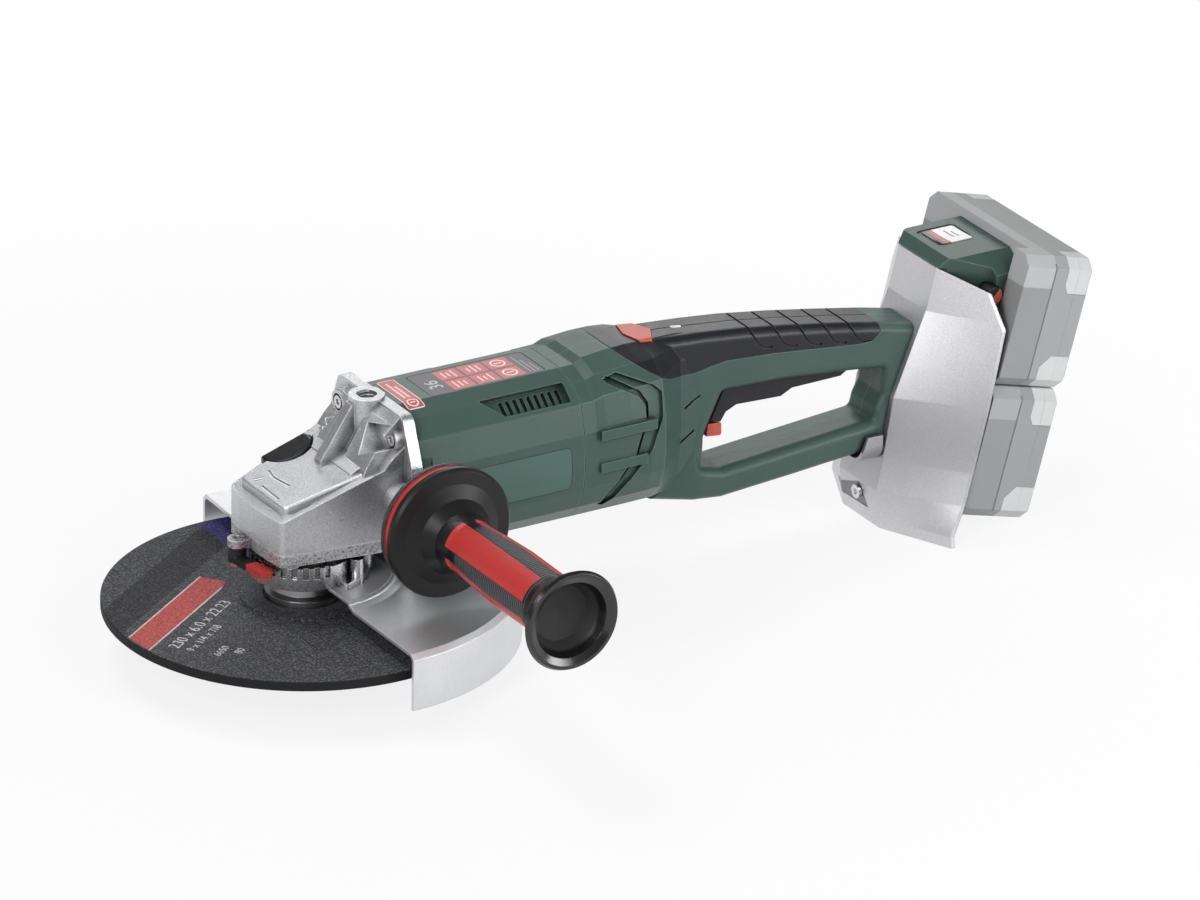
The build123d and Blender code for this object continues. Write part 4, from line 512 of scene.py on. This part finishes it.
def barrel_plastic():
    maker = Finish("barrel_green")
    x, y, z = maker.axes()
    wide = ((x - FIELD_MIDDLE[0]).size() - FIELD_INNER[0]).higher(0.0)
    tall = ((z - FIELD_MIDDLE[1]).size() - FIELD_INNER[1]).higher(0.0)
    away = (wide * wide + tall * tall).root()
    flank = y.size().above(0.040, 0.0005)
    field = away.under(FIELD_CORNER, 0.00015) * flank
    rim = stripe(away, FIELD_CORNER - 0.0004, FIELD_CORNER + 0.0004, 0.0003) * flank
    grain = maker.noise(1600.0, 2.0, 0.65)
    colour = moulded_tone(maker, grain, HOUSING_GREEN)
    colour = maker.mix(field * 0.55, colour, (0.088, 0.152, 0.132))
    colour = maker.mix(rim * 0.5, colour, (0.020, 0.042, 0.035))
    skin = maker.bump(grain, 0.00009, after=maker.soft_edge(0.0007))
    return maker.finish(
        # A painted highlight on the edges and painted shade in the grooves, as on the other housings.
        Base_Color=painted_highlight_and_shade(maker, colour, HOUSING_GREEN),
        Roughness=grain * 0.16 + 0.26,
        Normal=maker.bump(1 - field, 0.0005, after=skin),
        Specular_IOR_Level=0.25,
    )


barrel_green = barrel_plastic()
print("barrel ready")

# %% [markdown]
# ## The side handle's flange
# The black flange and its hub are moulded with a coarse leather-like grain and stay quite glossy.
# A cell pattern gives the small smooth islands that plain noise does not. The moulded face is also a shallow cone.
# A height that falls with the distance from the grip's axis turns the light over it as a cone would.

# %% Handle flange
GRIP_AXIS = (0.042, 0.080)
FLANGE_REACH = 0.05


def leather_black():
    maker = Finish("flange_black")
    x, y, z = maker.axes()
    cells = maker.node("TexVoronoi", {"feature": "F1"}, {"Vector": maker.place, "Scale": 760.0})
    grain = maker.noise(600.0, 3.0)
    skin = cells * 0.7 + grain * 0.3
    cone = maker.bump(FLANGE_REACH - reach(x, z, GRIP_AXIS), 0.42, after=maker.soft_edge(0.001))
    return maker.finish(
        Base_Color=maker.speckled(grain, (0.0075, 0.0075, 0.0085), (0.014, 0.014, 0.016)),
        Roughness=cells * 0.14 + 0.28,
        Normal=maker.bump(skin, 0.00060, after=cone),
        Specular_IOR_Level=0.9,
    )


flange_black = leather_black()
print("flange ready")

# %% [markdown]
# ## The grip, its panels and its cap
# Fine ribs run across the black grip between two red rubber panels with black ends. A sine along Y cuts the ribs, and
# a painted highlight makes their crests pale.
# The cap is polished, and dull inside its hollow end, where painted shade keeps its depth dark.

# %% Ribbed grip, panels and cap
RIB_PITCH = 0.0019
RIBBED_LENGTH = (-0.201, -0.124)
RED_LENGTH = (-0.1990, -0.1125)
CAP_RADIUS = 0.0200
CAP_START = -0.180


def ribbed_black():
    """Fine ribs across the grip between its two panels, with a painted highlight on their crests, and plain black at
    both ends.
    """
    maker = Finish("grip_black")
    x, y, z = maker.axes()
    ribs = (y * (2 * math.pi / RIB_PITCH)).sine() * 0.5 + 0.5
    ribbed = stripe(y, *RIBBED_LENGTH, 0.002)
    grain = maker.noise(1500.0, 2.0)
    skin = maker.bump(grain, 0.00006, after=maker.soft_edge(0.0006))
    return maker.finish(
        # A painted highlight: the rib crests are pale grey.
        Base_Color=maker.mix(ribs * ribbed * 0.85, (0.008, 0.008, 0.009), (0.13, 0.132, 0.14)),
        Roughness=grain * 0.14 + 0.3,
        Normal=maker.bump(ribs * ribbed, 0.00035, after=skin),
        Specular_IOR_Level=0.25,
    )


def panel_red():
    """Red rubber with a black border at both ends of each panel."""
    maker = Finish("panel_rubber")
    x, y, z = maker.axes()
    grain = maker.noise(1500.0, 2.0, 0.65)
    paint = maker.speckled(grain, (0.42, 0.030, 0.030), (0.52, 0.042, 0.040))
    return maker.finish(
        Base_Color=maker.mix(stripe(y, *RED_LENGTH, 0.0004), (0.010, 0.010, 0.012), paint),
        Roughness=grain * 0.14 + 0.3,
        Normal=maker.bump(grain, 0.00008, after=maker.soft_edge(0.0007)),
        Specular_IOR_Level=0.3,
    )


def cap_plastic():
    """Polished black, dull inside the hollow end, with painted shade there."""
    maker = Finish("cap_black")
    x, y, z = maker.axes()
    hollow = reach(x, z, GRIP_AXIS).under(CAP_RADIUS, 0.0010) * y.under(CAP_START, 0.001)
    grain = maker.noise(1200.0, 2.0)
    tone = maker.speckled(grain, (0.0032, 0.0032, 0.0037), (0.0040, 0.0040, 0.0046))
    return maker.finish(
        # Painted shade darkens the inside of the hollow end.
        Base_Color=maker.mix(hollow * 0.8, tone, (0.0012, 0.0012, 0.0014)),
        Roughness=hollow * 0.55 + grain * 0.10 + 0.13,
        Normal=maker.bump(grain, 0.00004, after=maker.soft_edge(0.0006)),
        Specular_IOR_Level=0.7,
    )


grip_black = ribbed_black()
panel_rubber = panel_red()
cap_black = cap_plastic()
print("grip finishes ready")

# %% [markdown]
# ## The grinding disc
# Grit in resin over a glass net, with a printed face: one red band with pale edges, one darker band
# beside it, and a short violet mark. The bands lie straight across the face, so two turned axes are made:
# one along the bands and one across them. The print is worn, so the grit shows through it.

# %% Disc
BAND_TURN = math.radians(34.7)
PRINTED_ABOVE = 0.0136
PRINT_REACH = (0.047, 0.1135)
DISC_SIDE = 0.1146
RED_BAND = (0.0451, 0.0636)
DARK_BAND = (0.069, 0.0925)
PALE_EDGE = 0.0010
VIOLET_X = (-0.0055, 0.017)
VIOLET_Y = (0.066, 0.1135)


def printed_disc():
    maker = Finish("printed_disc")
    x, y, z = maker.axes()
    across = y * math.cos(BAND_TURN) - x * math.sin(BAND_TURN)
    along = x * math.cos(BAND_TURN) + y * math.sin(BAND_TURN)
    face = z.above(PRINTED_ABOVE, 0.0002)
    outward = reach(x, y, (0.0, 0.0))
    left = along.under(-0.004, 0.0006) * outward.above(PRINT_REACH[0], 0.0004) * outward.under(PRINT_REACH[1], 0.0003)

    grit = maker.noise(950.0, 2.0, 0.8)
    dust = maker.noise(420.0, 4.0, 0.7)
    lit = grit.above(0.56, 0.10)
    worn = grit.above(0.36, 0.10)
    weave = {"Vector": maker.place, "Scale": 38.0, "Distortion": 0.6}
    warp, weft = (maker.node("TexWave", {"bands_direction": way}, weave) for way in "XY")
    strands = warp.higher(weft).above(0.94, 0.05)

    stone = maker.mix(lit, (0.009, 0.009, 0.010), (0.18, 0.184, 0.194))
    pale = maker.mix(lit * 0.75 + dust * 0.25, (0.022, 0.023, 0.025), (0.17, 0.173, 0.182))
    beside = across.under(DARK_BAND[0], 0.0006) + across.above(DARK_BAND[1], 0.0006)
    colour = maker.mix(beside.lower(1.0) * face * 0.75, stone, pale)
    colour = maker.mix(strands * 0.25 * face, colour, (0.012, 0.012, 0.013))
    dark = stripe(across, *DARK_BAND, 0.0005) * face
    colour = maker.mix(dark * 0.75, colour, maker.mix(lit, (0.012, 0.012, 0.0135), (0.05, 0.051, 0.055)))

    band = stripe(across, *RED_BAND, 0.0002) * left * face
    inside = stripe(across, RED_BAND[0] + PALE_EDGE, RED_BAND[1] - PALE_EDGE, 0.0002) * left * face
    colour = maker.mix(band * worn * 0.95, colour, maker.mix(lit, (0.42, 0.065, 0.06), (0.56, 0.14, 0.13)))
    colour = maker.mix((band - inside) * worn * 0.9, colour, (0.62, 0.58, 0.56))
    violet = stripe(x, *VIOLET_X, 0.0003) * stripe(y, *VIOLET_Y, 0.0003) * face
    colour = maker.mix(violet * worn * 0.9, colour, maker.mix(lit, (0.032, 0.027, 0.11), (0.10, 0.085, 0.27)))
    colour = maker.mix(outward.above(DISC_SIDE, 0.0002), colour, (0.010, 0.010, 0.011))
    return maker.finish(
        Base_Color=colour,
        Roughness=grit * 0.3 + 0.5,
        Normal=maker.bump(grit, 0.00035, after=maker.bump(strands, 0.00012)),
        Specular_IOR_Level=0.2,
    )


disc_face = printed_disc()
print("disc ready")

# %% [markdown]
# ## The battery packs
# Each pack is pale grey plastic in three tones: a lighter band along the top, a darker body,
# and light rubber pads at the rear corners. The packs lean with the foot, so depth and drop along the pack
# are made from X and Z, and the lower pack repeats the upper one a little further down, with painted shade darkening
# its top band.

# %% Packs
PACK_TOP = (0.4487, 0.1515)
PACK_LEAN = math.radians(15.0)
PACK_PITCH = 0.0816
PACK_HALF_WIDTH = 0.045
PACK_SEAM = 0.021
PACK_BODY = (0.25, 0.254, 0.258)
PACK_PAD = (0.55, 0.555, 0.56)


def pack_plastic(name, drop_start, band):
    maker = Finish(name)
    x, y, z = maker.axes()
    away = x - PACK_TOP[0]
    below = z - PACK_TOP[1]
    depth = away * math.cos(PACK_LEAN) - below * math.sin(PACK_LEAN)
    drop = away * -math.sin(PACK_LEAN) - below * math.cos(PACK_LEAN) - drop_start
    sides = y.size().above(PACK_HALF_WIDTH, 0.0004)
    upper_slant = (depth - 0.030) - (drop - 0.016).higher(0.0) * 0.6
    upper_pad = upper_slant.above(0.0, 0.0003) * drop.under(0.021, 0.0003) * sides
    lower_slant = (depth - 0.0265) - (0.067 - drop).higher(0.0) * 0.9
    lower_pad = lower_slant.above(0.0, 0.0003) * drop.above(0.0595, 0.0003) * sides
    pads = upper_pad.higher(lower_pad)
    top_band = drop.under(0.0185, 0.0004) * depth.under(PACK_SEAM, 0.0003)
    groove = stripe(depth, PACK_SEAM - 0.0004, PACK_SEAM + 0.0004, 0.0002) * stripe(drop, 0.004, 0.076, 0.0003)

    grain = maker.noise(1500.0, 2.0)
    cloud = maker.noise(20.0, 3.0)
    colour = maker.mix(cloud.above(0.5, 0.25), shade(PACK_BODY, 0.94), PACK_BODY)
    colour = maker.mix(depth.above(PACK_SEAM, 0.0003) * 0.25, colour, band)
    colour = maker.mix(top_band * 0.75, colour, band)
    colour = maker.mix(pads * 0.92, colour, PACK_PAD)
    colour = maker.mix(groove * 0.7, colour, shade(PACK_BODY, 0.45))
    skin = maker.bump(grain, 0.00006, after=maker.soft_edge(0.0009))
    return maker.finish(
        Base_Color=colour,
        Roughness=grain * 0.14 + 0.42,
        Normal=maker.bump(pads * 0.8 - groove, 0.0007, after=skin),
    )


upper_plastic = pack_plastic("upper_pack_plastic", 0.0, band=(0.44, 0.445, 0.45))
# Painted shade: the lower pack's band is darker than the upper pack's.
lower_plastic = pack_plastic("lower_pack_plastic", PACK_PITCH, band=(0.36, 0.365, 0.37))
print("packs ready")

# %% [markdown]
# ## Every node gets its finish
# The names of the slots say what each piece is made of, so one table does most of the work.
# A few pieces have a finish of their own, and those are named after it.

# %% Finish by slot
by_slot = {
    "silver_cast": cast_silver,
    "steel": steel,
    "bright_steel": bright_steel,
    "green_plastic": green,
    "soft_black": soft_black,
    "black_plastic": black,
    "red_plastic": red,
    "red_rubber": red_rubber,
    "abrasive": disc_face,
    "guard_steel": guard_silver,
    "shield_metal": shield_silver,
    "pack_grey": upper_plastic,
    "pack_dark": upper_plastic,
    "copper": copper,
    "lamp": lamp_clear,
}
own_finish = {
    "guard_collar": collar_silver,
    "bearing_cover": pebbled_silver,
    "trigger": soft_black,
    "motor_housing": barrel_green,
    "guard_lever": lever_paint,
    "handle_hub": flange_black,
    "side_grip": grip_black,
    "grip_panels": panel_rubber,
    "end_cap": cap_black,
    "pack_lower_case": lower_plastic,
    "pack_lower_lid": lower_plastic,
    **release_finish,
}


def dress(node, material):
    mesh = frame["nodes"][node].data
    mesh.materials.clear()
    mesh.materials.append(material)


for part in frame["record"]["subparts"]:
    dress(part["node"], own_finish.get(part["node"], by_slot[part["material_slot"]]))

# %% [markdown]
# ## Labels and printed numbers
# A label is a thin plate with rounded corners, set on the surface under it. Its corners come from short arcs,
# and it is cut into strips, so that each point can drop onto the housing and follow its curve.
# Lettering on a tool like this is plain sizes and speeds, and here it is numbers only.

# %% Plates and numbers
LABEL_LIFT = 0.00003
INK_THICK = 0.00006


def surface_under(node):
    mesh = frame["nodes"][node].data
    return BVHTree.FromPolygons([v.co[:] for v in mesh.vertices], [p.vertices[:] for p in mesh.polygons])


def height_over(tree, x, y):
    return tree.ray_cast(Vector((x, y, 1.0)), Vector((0.0, 0.0, -1.0)))[0].z


def make_piece(name, mesh, body, material, smooth=False):
    piece = bpy.data.objects.new(name, mesh)
    bpy.context.scene.collection.objects.link(piece)
    mesh.materials.clear()
    mesh.materials.append(material)
    for face in mesh.polygons:
        face.use_smooth = smooth
    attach(piece, body)
    return piece


def label_plate(name, node, body, material, low, high, corner, thick, steps=24):
    """A rounded label between two corners, laid on a node from above."""
    tree = surface_under(node)
    arc = [corner * k / 5 for k in range(6)]
    columns = sorted({low[0] + a for a in arc} | {high[0] - a for a in arc})
    shell = bmesh.new()
    rows = []
    for x in columns:
        near_end = corner - min(x - low[0], high[0] - x, corner)
        pull = corner - math.sqrt(max(corner * corner - near_end * near_end, 0.0))
        y_from, y_to = low[1] + pull, high[1] - pull
        ys = [y_from + (y_to - y_from) * k / steps for k in range(steps + 1)]
        floor_line = [Vector((x, y, height_over(tree, x, y) + LABEL_LIFT)) for y in ys]
        rows.append([(shell.verts.new(p), shell.verts.new(p + Vector((0, 0, thick)))) for p in floor_line])
    for first, second in zip(rows, rows[1:]):
        for (a, up_a), (b, up_b), (c, up_c), (d, up_d) in zip(first, second, second[1:], first[1:]):
            shell.faces.new((up_a, up_b, up_c, up_d))
            shell.faces.new((d, c, b, a))
    upper = {low_point: up_point for row in rows for low_point, up_point in row}
    for edge in [e for e in shell.edges if len(e.link_faces) == 1]:
        a, b = edge.verts
        if a in upper:
            shell.faces.new((a, b, upper[b], upper[a]))
    bmesh.ops.recalc_face_normals(shell, faces=shell.faces)
    mesh = bpy.data.meshes.new(name)
    shell.to_mesh(mesh)
    shell.free()
    return make_piece(name, mesh, body, material)


def numbers(name, words, size, at, along, upward, body, material):
    """Plain numbers laid flat: along is the reading direction and upward is the way the tops point."""
    curve = bpy.data.curves.new(name + "_outline", "FONT")
    curve.body = words
    curve.size = size
    curve.extrude = INK_THICK / 2
    curve.resolution_u = 3
    holder = bpy.data.objects.new(name + "_outline", curve)
    bpy.context.scene.collection.objects.link(holder)
    bpy.context.view_layer.update()
    mesh = bpy.data.meshes.new_from_object(holder.evaluated_get(bpy.context.evaluated_depsgraph_get()))
    bpy.data.objects.remove(holder)
    bpy.data.curves.remove(curve)
    read = Vector(along).normalized()
    tops = Vector(upward).normalized()
    out = read.cross(tops)
    turn = Matrix((read, tops, out)).transposed().to_4x4()
    mesh.transform(Matrix.Translation(Vector(at) + out * INK_THICK / 2) @ turn)
    mesh.name = name
    return make_piece(name, mesh, body, material)


def printed_ink(name, tone, wear):
    """Ink that the grit has rubbed through. wear is the share of the noise that is bare."""
    maker = Finish(name)
    grit = maker.noise(950.0, 2.0, 0.8)
    colour = maker.mix(grit.above(0.5, 0.15), shade(tone, 0.6), tone)
    return maker.finish(Base_Color=colour, Roughness=grit * 0.2 + 0.4, Alpha=grit.above(wear, 0.08))


def label_film(maker, fine, colour, rough=0.30, gloss=0.25):
    """The smooth film over the print of a label."""
    return maker.finish(
        Base_Color=colour,
        Roughness=fine * 0.1 + rough,
        Normal=maker.bump(fine, 0.00002),
        Specular_IOR_Level=gloss,
    )


print("label tools ready")

# %% [markdown]
# ## The rating label
# A dark label lies along the crown of the barrel. Six rosy squares stand on it in three columns:
# four with plain bars, and two with a ring and a tick. Three thin grey lines close it,
# and one plain number stands at its front. The squares come from one loop, and no words are drawn.

# %% Rating label
LABEL_LOW = (0.0745, -0.0147)
LABEL_HIGH = (0.1495, 0.0147)
SQUARE = (0.0148, 0.0125)
SQUARE_START = 0.0905
SQUARE_STEP = 0.0163
SQUARE_ROWS = (-0.0133, 0.0008)
CLOSING_LINES = 0.1410


def rating_print():
    maker = Finish("rating_print")
    x, y, z = maker.axes()
    fine = maker.noise(1800.0, 2.0)
    colour = maker.speckled(fine, (0.062, 0.060, 0.070), (0.082, 0.078, 0.09))
    rosy = maker.speckled(fine, (0.46, 0.095, 0.095), (0.54, 0.13, 0.125))
    white = (0.78, 0.74, 0.73)
    for column in range(3):
        start = SQUARE_START + SQUARE_STEP * column
        for row, low_y in enumerate(SQUARE_ROWS):
            colour = maker.mix(bar(x, y, (start, low_y), (start + SQUARE[0], low_y + SQUARE[1])), colour, rosy)
            middle_x = start + SQUARE[0] / 2
            middle_y = low_y + SQUARE[1] / 2
            if column == 2:
                ring = stripe(reach(x, y, (middle_x, middle_y)), 0.0036, 0.0046, 0.00012)
                tick = bar(x, y, (middle_x - 0.0024, middle_y - 0.0005), (middle_x + 0.0024, middle_y + 0.0005))
                colour = maker.mix(ring.higher(tick) * 0.9, colour, white)
                continue
            for line in range(3):
                at = middle_x - 0.0036 + 0.0032 * line
                length = 0.0046 - 0.0010 * ((line + row + column) % 3)
                mark = bar(x, y, (at, middle_y - length), (at + 0.0009, middle_y + length))
                colour = maker.mix(mark * 0.85, colour, white)
    for line in range(3):
        at = CLOSING_LINES + 0.0026 * line
        mark = bar(x, y, (at, -0.0125), (at + 0.0007, 0.011 - 0.006 * line))
        colour = maker.mix(mark * 0.6, colour, (0.42, 0.41, 0.43))
    return label_film(maker, fine, colour)


plate = label_plate(
    "rating_label",
    "motor_housing",
    "machine",
    rating_print(),
    LABEL_LOW,
    LABEL_HIGH,
    corner=0.0022,
    thick=0.0004,
    steps=4,
)
label_top = max(v.co.z for v in plate.data.vertices)
pale_ink = printed_ink("pale_ink", (0.70, 0.68, 0.68), wear=0.2)
numbers(
    "rating_number",
    "36",
    0.0120,
    at=(0.0872, -0.0078, label_top),
    along=(0, 1, 0),
    upward=(-1, 0, 0),
    body="machine",
    material=pale_ink,
)
print("rating label at", round(label_top * 1000, 2), "mm")

# %% [markdown]
# ## The red strip behind the gear housing
# A narrow strip runs across the crown of the barrel, just behind the cast flange.
# It has pale edges, a ring at its lower end and two broken lines.

# %% Red strip
STRIP_LOW = (0.0556, -0.0218)
STRIP_HIGH = (0.0667, 0.0158)
RING_AT = (0.0611, -0.0165)
LINES_FROM = -0.0105


def strip_print():
    maker = Finish("strip_print")
    x, y, z = maker.axes()
    fine = maker.noise(1800.0, 2.0)
    rosy = maker.speckled(fine, (0.44, 0.075, 0.07), (0.52, 0.105, 0.10))
    white = (0.76, 0.72, 0.70)
    inner = bar(x, y, (0.0561, -0.0212), (0.0662, 0.0152))
    colour = maker.mix(1 - inner, rosy, white)
    ring = stripe(reach(x, y, RING_AT), 0.0026, 0.0036)
    tick = bar(x, y, (0.0595, -0.0170), (0.0627, -0.0160))
    colour = maker.mix(ring.higher(tick) * 0.9, colour, white)
    for at, length in ((0.0590, 0.022), (0.0618, 0.017)):
        mark = bar(x, y, (at, LINES_FROM), (at + 0.0016, LINES_FROM + length))
        gaps = (y * 420.0).fraction().above(0.22, 0.04)
        colour = maker.mix(mark * gaps * 0.8, colour, white)
    return label_film(maker, fine, colour)


label_plate(
    "speed_strip",
    "motor_housing",
    "machine",
    strip_print(),
    STRIP_LOW,
    STRIP_HIGH,
    corner=0.0016,
    thick=0.00022,
)
print("strip laid")

# %% [markdown]
# ## Numbers on the disc
# The face of a disc carries its size and its top speed. They sit below the red band and read along it.

# %% Disc numbers
disc_face_z = height_over(surface_under("grinding_disc"), -0.080, -0.010)
read_way = Vector((math.cos(BAND_TURN), math.sin(BAND_TURN), 0.0))
tops_way = Vector((-math.sin(BAND_TURN), math.cos(BAND_TURN), 0.0))
disc_ink = printed_ink("disc_ink", (0.62, 0.60, 0.59), wear=0.36)


def on_disc(name, words, size, along, across):
    at = read_way * along + tops_way * across + Vector((0.0, 0.0, disc_face_z + 0.00002))
    return numbers(name, words, size, at, read_way, tops_way, "spindle_set", disc_ink)


on_disc("disc_size", "230 x 6.0 x 22.23", 0.0098, -0.0955, 0.0318)
on_disc("disc_size_in_inches", "9 x 1/4 x 7/8", 0.0072, -0.0950, 0.0226)
on_disc("disc_speed", "6650", 0.0068, -0.0940, 0.0066)
on_disc("disc_rim_speed", "80", 0.0068, -0.0860, -0.0026)
print("disc numbers on", round(1000 * disc_face_z, 1), "mm")

# %% [markdown]
# ## The window on the foot
# A small pale plate with a red end is set into the top of the battery foot. Two dark lines cross it. Its end before
# the red is painted dark, as painted shade in the recess.

# %% Foot window
WINDOW_LOW = (0.4232, -0.0052)
WINDOW_HIGH = (0.4448, 0.0172)
RED_END = 0.4300
SHADE_PAINTED_END = 0.4262


def window_print():
    maker = Finish("window_print")
    x, y, z = maker.axes()
    fine = maker.noise(1600.0, 2.0)
    colour = maker.speckled(fine, (0.70, 0.70, 0.70), (0.80, 0.80, 0.80))
    colour = maker.mix(x.under(RED_END, 0.0002), colour, (0.36, 0.035, 0.04))
    # Painted shade: the end of the plate before the red one is dark.
    colour = maker.mix(x.under(SHADE_PAINTED_END, 0.0002), colour, (0.012, 0.014, 0.014))
    for line, end in (((0.4355, 0.4366), 0.013), ((0.4388, 0.4399), 0.010)):
        mark = stripe(x, *line) * stripe(y, 0.0015, end, 0.0002)
        colour = maker.mix(mark, colour, (0.05, 0.05, 0.055))
    return label_film(maker, fine, colour, rough=0.26, gloss=0.5)


label_plate(
    "foot_window",
    "battery_foot",
    "rear_handle",
    window_print(),
    WINDOW_LOW,
    WINDOW_HIGH,
    corner=0.0012,
    thick=0.0005,
    steps=2,
)
print("window set")

# %% [markdown]
# ## Threads in the handle sockets
# The sockets on the gear housing are tapped, and their open mouths show the first turns of the thread.
# A ridge with a flat crest is swept down a helix, just inside the bore.

# %% Threads
THREAD_BORE = 0.00598
THREAD_CREST = 0.0053
THREAD_PITCH = 0.002
THREAD_START = 0.0012
STEPS_A_TURN = 36
RIDGE = (
    (THREAD_BORE, -0.40 * THREAD_PITCH),
    (THREAD_CREST, -0.06 * THREAD_PITCH),
    (THREAD_CREST, 0.06 * THREAD_PITCH),
    (THREAD_BORE, 0.40 * THREAD_PITCH),
)


def thread(name, mouth, axis, turns):
    """A ridge wound into a socket from its mouth. axis points out of the socket."""
    way = Vector(axis).normalized()
    side = way.orthogonal().normalized()
    other = way.cross(side)
    ridge = bmesh.new()
    rings = []
    for step in range(int(turns * STEPS_A_TURN) + 1):
        turn = 2 * math.pi * step / STEPS_A_TURN
        out = side * math.cos(turn) + other * math.sin(turn)
        down = THREAD_START + THREAD_PITCH * step / STEPS_A_TURN
        rings.append([ridge.verts.new(Vector(mouth) + out * r - way * (down + offset)) for r, offset in RIDGE])
    for first, second in zip(rings, rings[1:]):
        for k in range(4):
            ridge.faces.new((first[k], first[(k + 1) % 4], second[(k + 1) % 4], second[k]))
    ridge.faces.new(rings[0])
    ridge.faces.new(rings[-1])
    bmesh.ops.recalc_face_normals(ridge, faces=ridge.faces)
    mesh = bpy.data.meshes.new(name)
    ridge.to_mesh(mesh)
    ridge.free()
    return make_piece(name, mesh, "machine", steel, smooth=True)


thread("top_thread", (0.0405, 0.0, 0.130), (0, 0, 1), turns=6.5)
thread("far_thread", (0.042, 0.0472, 0.080), (0, 1, 0), turns=6.0)
print("threads cut")

# %% [markdown]
# ## The floor
# A pale floor lies just under the lowest face. Rays from the camera, from gloss and from clear pieces see
# almost pure white there, and the part that stays real floor keeps the object's soft shadow.
# Far from the object nothing casts a shadow, so the white is full.

# %% Floor
FLOOR_HALF = 30.0
FLOOR_GAP = 0.0003
WHITE_NEAR = 0.84


def studio_floor():
    mesh = bpy.data.meshes.new("studio_floor")
    ground = cad_low[2] - FLOOR_GAP
    corners = ((-1, -1), (1, -1), (1, 1), (-1, 1))
    mesh.from_pydata([(FLOOR_HALF * x, FLOOR_HALF * y, ground) for x, y in corners], [], [(0, 1, 2, 3)])
    floor = bpy.data.objects.new("studio_floor", mesh)
    bpy.context.scene.collection.objects.link(floor)
    maker = Finish("studio_floor")
    surface = maker.node("BsdfDiffuse", {}, {"Color": (0.80, 0.80, 0.80)})
    white = maker.node("Emission", {}, {"Color": (1.0, 1.0, 1.0), "Strength": 1.0})
    away = maker.node("VectorMath", {"operation": "LENGTH"}, {0: maker.place}, out=1)
    far = away.above(0.55, 0.32)
    kinds = ("Is Camera Ray", "Is Glossy Ray", "Is Transmission Ray")
    seen, mirrored, through = (maker.node("LightPath", out=kind) for kind in kinds)
    shown = seen.higher(mirrored).higher(through)
    maker.close(maker.node("MixShader", {}, {0: (far * (1 - WHITE_NEAR) + WHITE_NEAR) * shown, 1: surface, 2: white}))
    mesh.materials.append(maker.material)


studio_floor()
print("floor laid")

# %% [markdown]
# ## The lamps and the air
# Large soft lamps light the object from all round, and the camera doesn't see them.
# The world adds a little even light. Reflections get more of it than the shadows do,
# so that metal and gloss show a pale room while the dark sides stay deep.


# %% Lamps and air
def soft_lamp(name, at, towards, width, height, power):
    lamp = bpy.data.lights.new(name, "AREA")
    lamp.shape = "RECTANGLE"
    lamp.size = width
    lamp.size_y = height
    lamp.energy = power
    held = bpy.data.objects.new(name, lamp)
    bpy.context.scene.collection.objects.link(held)
    held.location = at
    held.visible_camera = False
    held.rotation_euler = (Vector(towards) - Vector(at)).to_track_quat("-Z", "Y").to_euler()


MIDDLE = (0.22, 0.0, 0.06)
LOW_FRONT = (0.05, -0.1, 0.08)
soft_lamp("lamp_above", (-0.3, 0.7, 2.0), MIDDLE, 1.2, 0.8, power=21.0)
soft_lamp("lamp_front", (-1.7, -1.2, 1.3), MIDDLE, 0.8, 1.1, power=31.0)
soft_lamp("lamp_side", (0.6, -2.1, 1.7), MIDDLE, 1.1, 0.6, power=17.0)
soft_lamp("lamp_right", (1.95, -0.95, 0.98), MIDDLE, 0.7, 0.7, power=4.0)
soft_lamp("lamp_low", (1.00, -1.15, 0.34), LOW_FRONT, 0.70, 0.36, power=8.0)
soft_lamp("lamp_behind", (1.25, 1.75, 0.95), MIDDLE, 1.3, 0.5, power=8.0)

EVEN_LIGHT = 0.11
MORE_IN_GLOSS = 0.18


class Air(Finish):
    """The world's light, built from the same wires as a finish."""

    def __init__(self, world):
        world.use_nodes = True
        self.tree = world.node_tree
        self.tree.nodes.clear()


world = bpy.data.worlds.new("studio_world")
bpy.context.scene.world = world
air = Air(world)
strength = air.node("LightPath", out="Is Glossy Ray") * MORE_IN_GLOSS + EVEN_LIGHT
air.close(air.node("Background", {}, {"Color": (1.0, 1.0, 1.0), "Strength": strength}), kind="OutputWorld")
bpy.context.scene.view_settings.view_transform = "Standard"
print("studio ready")
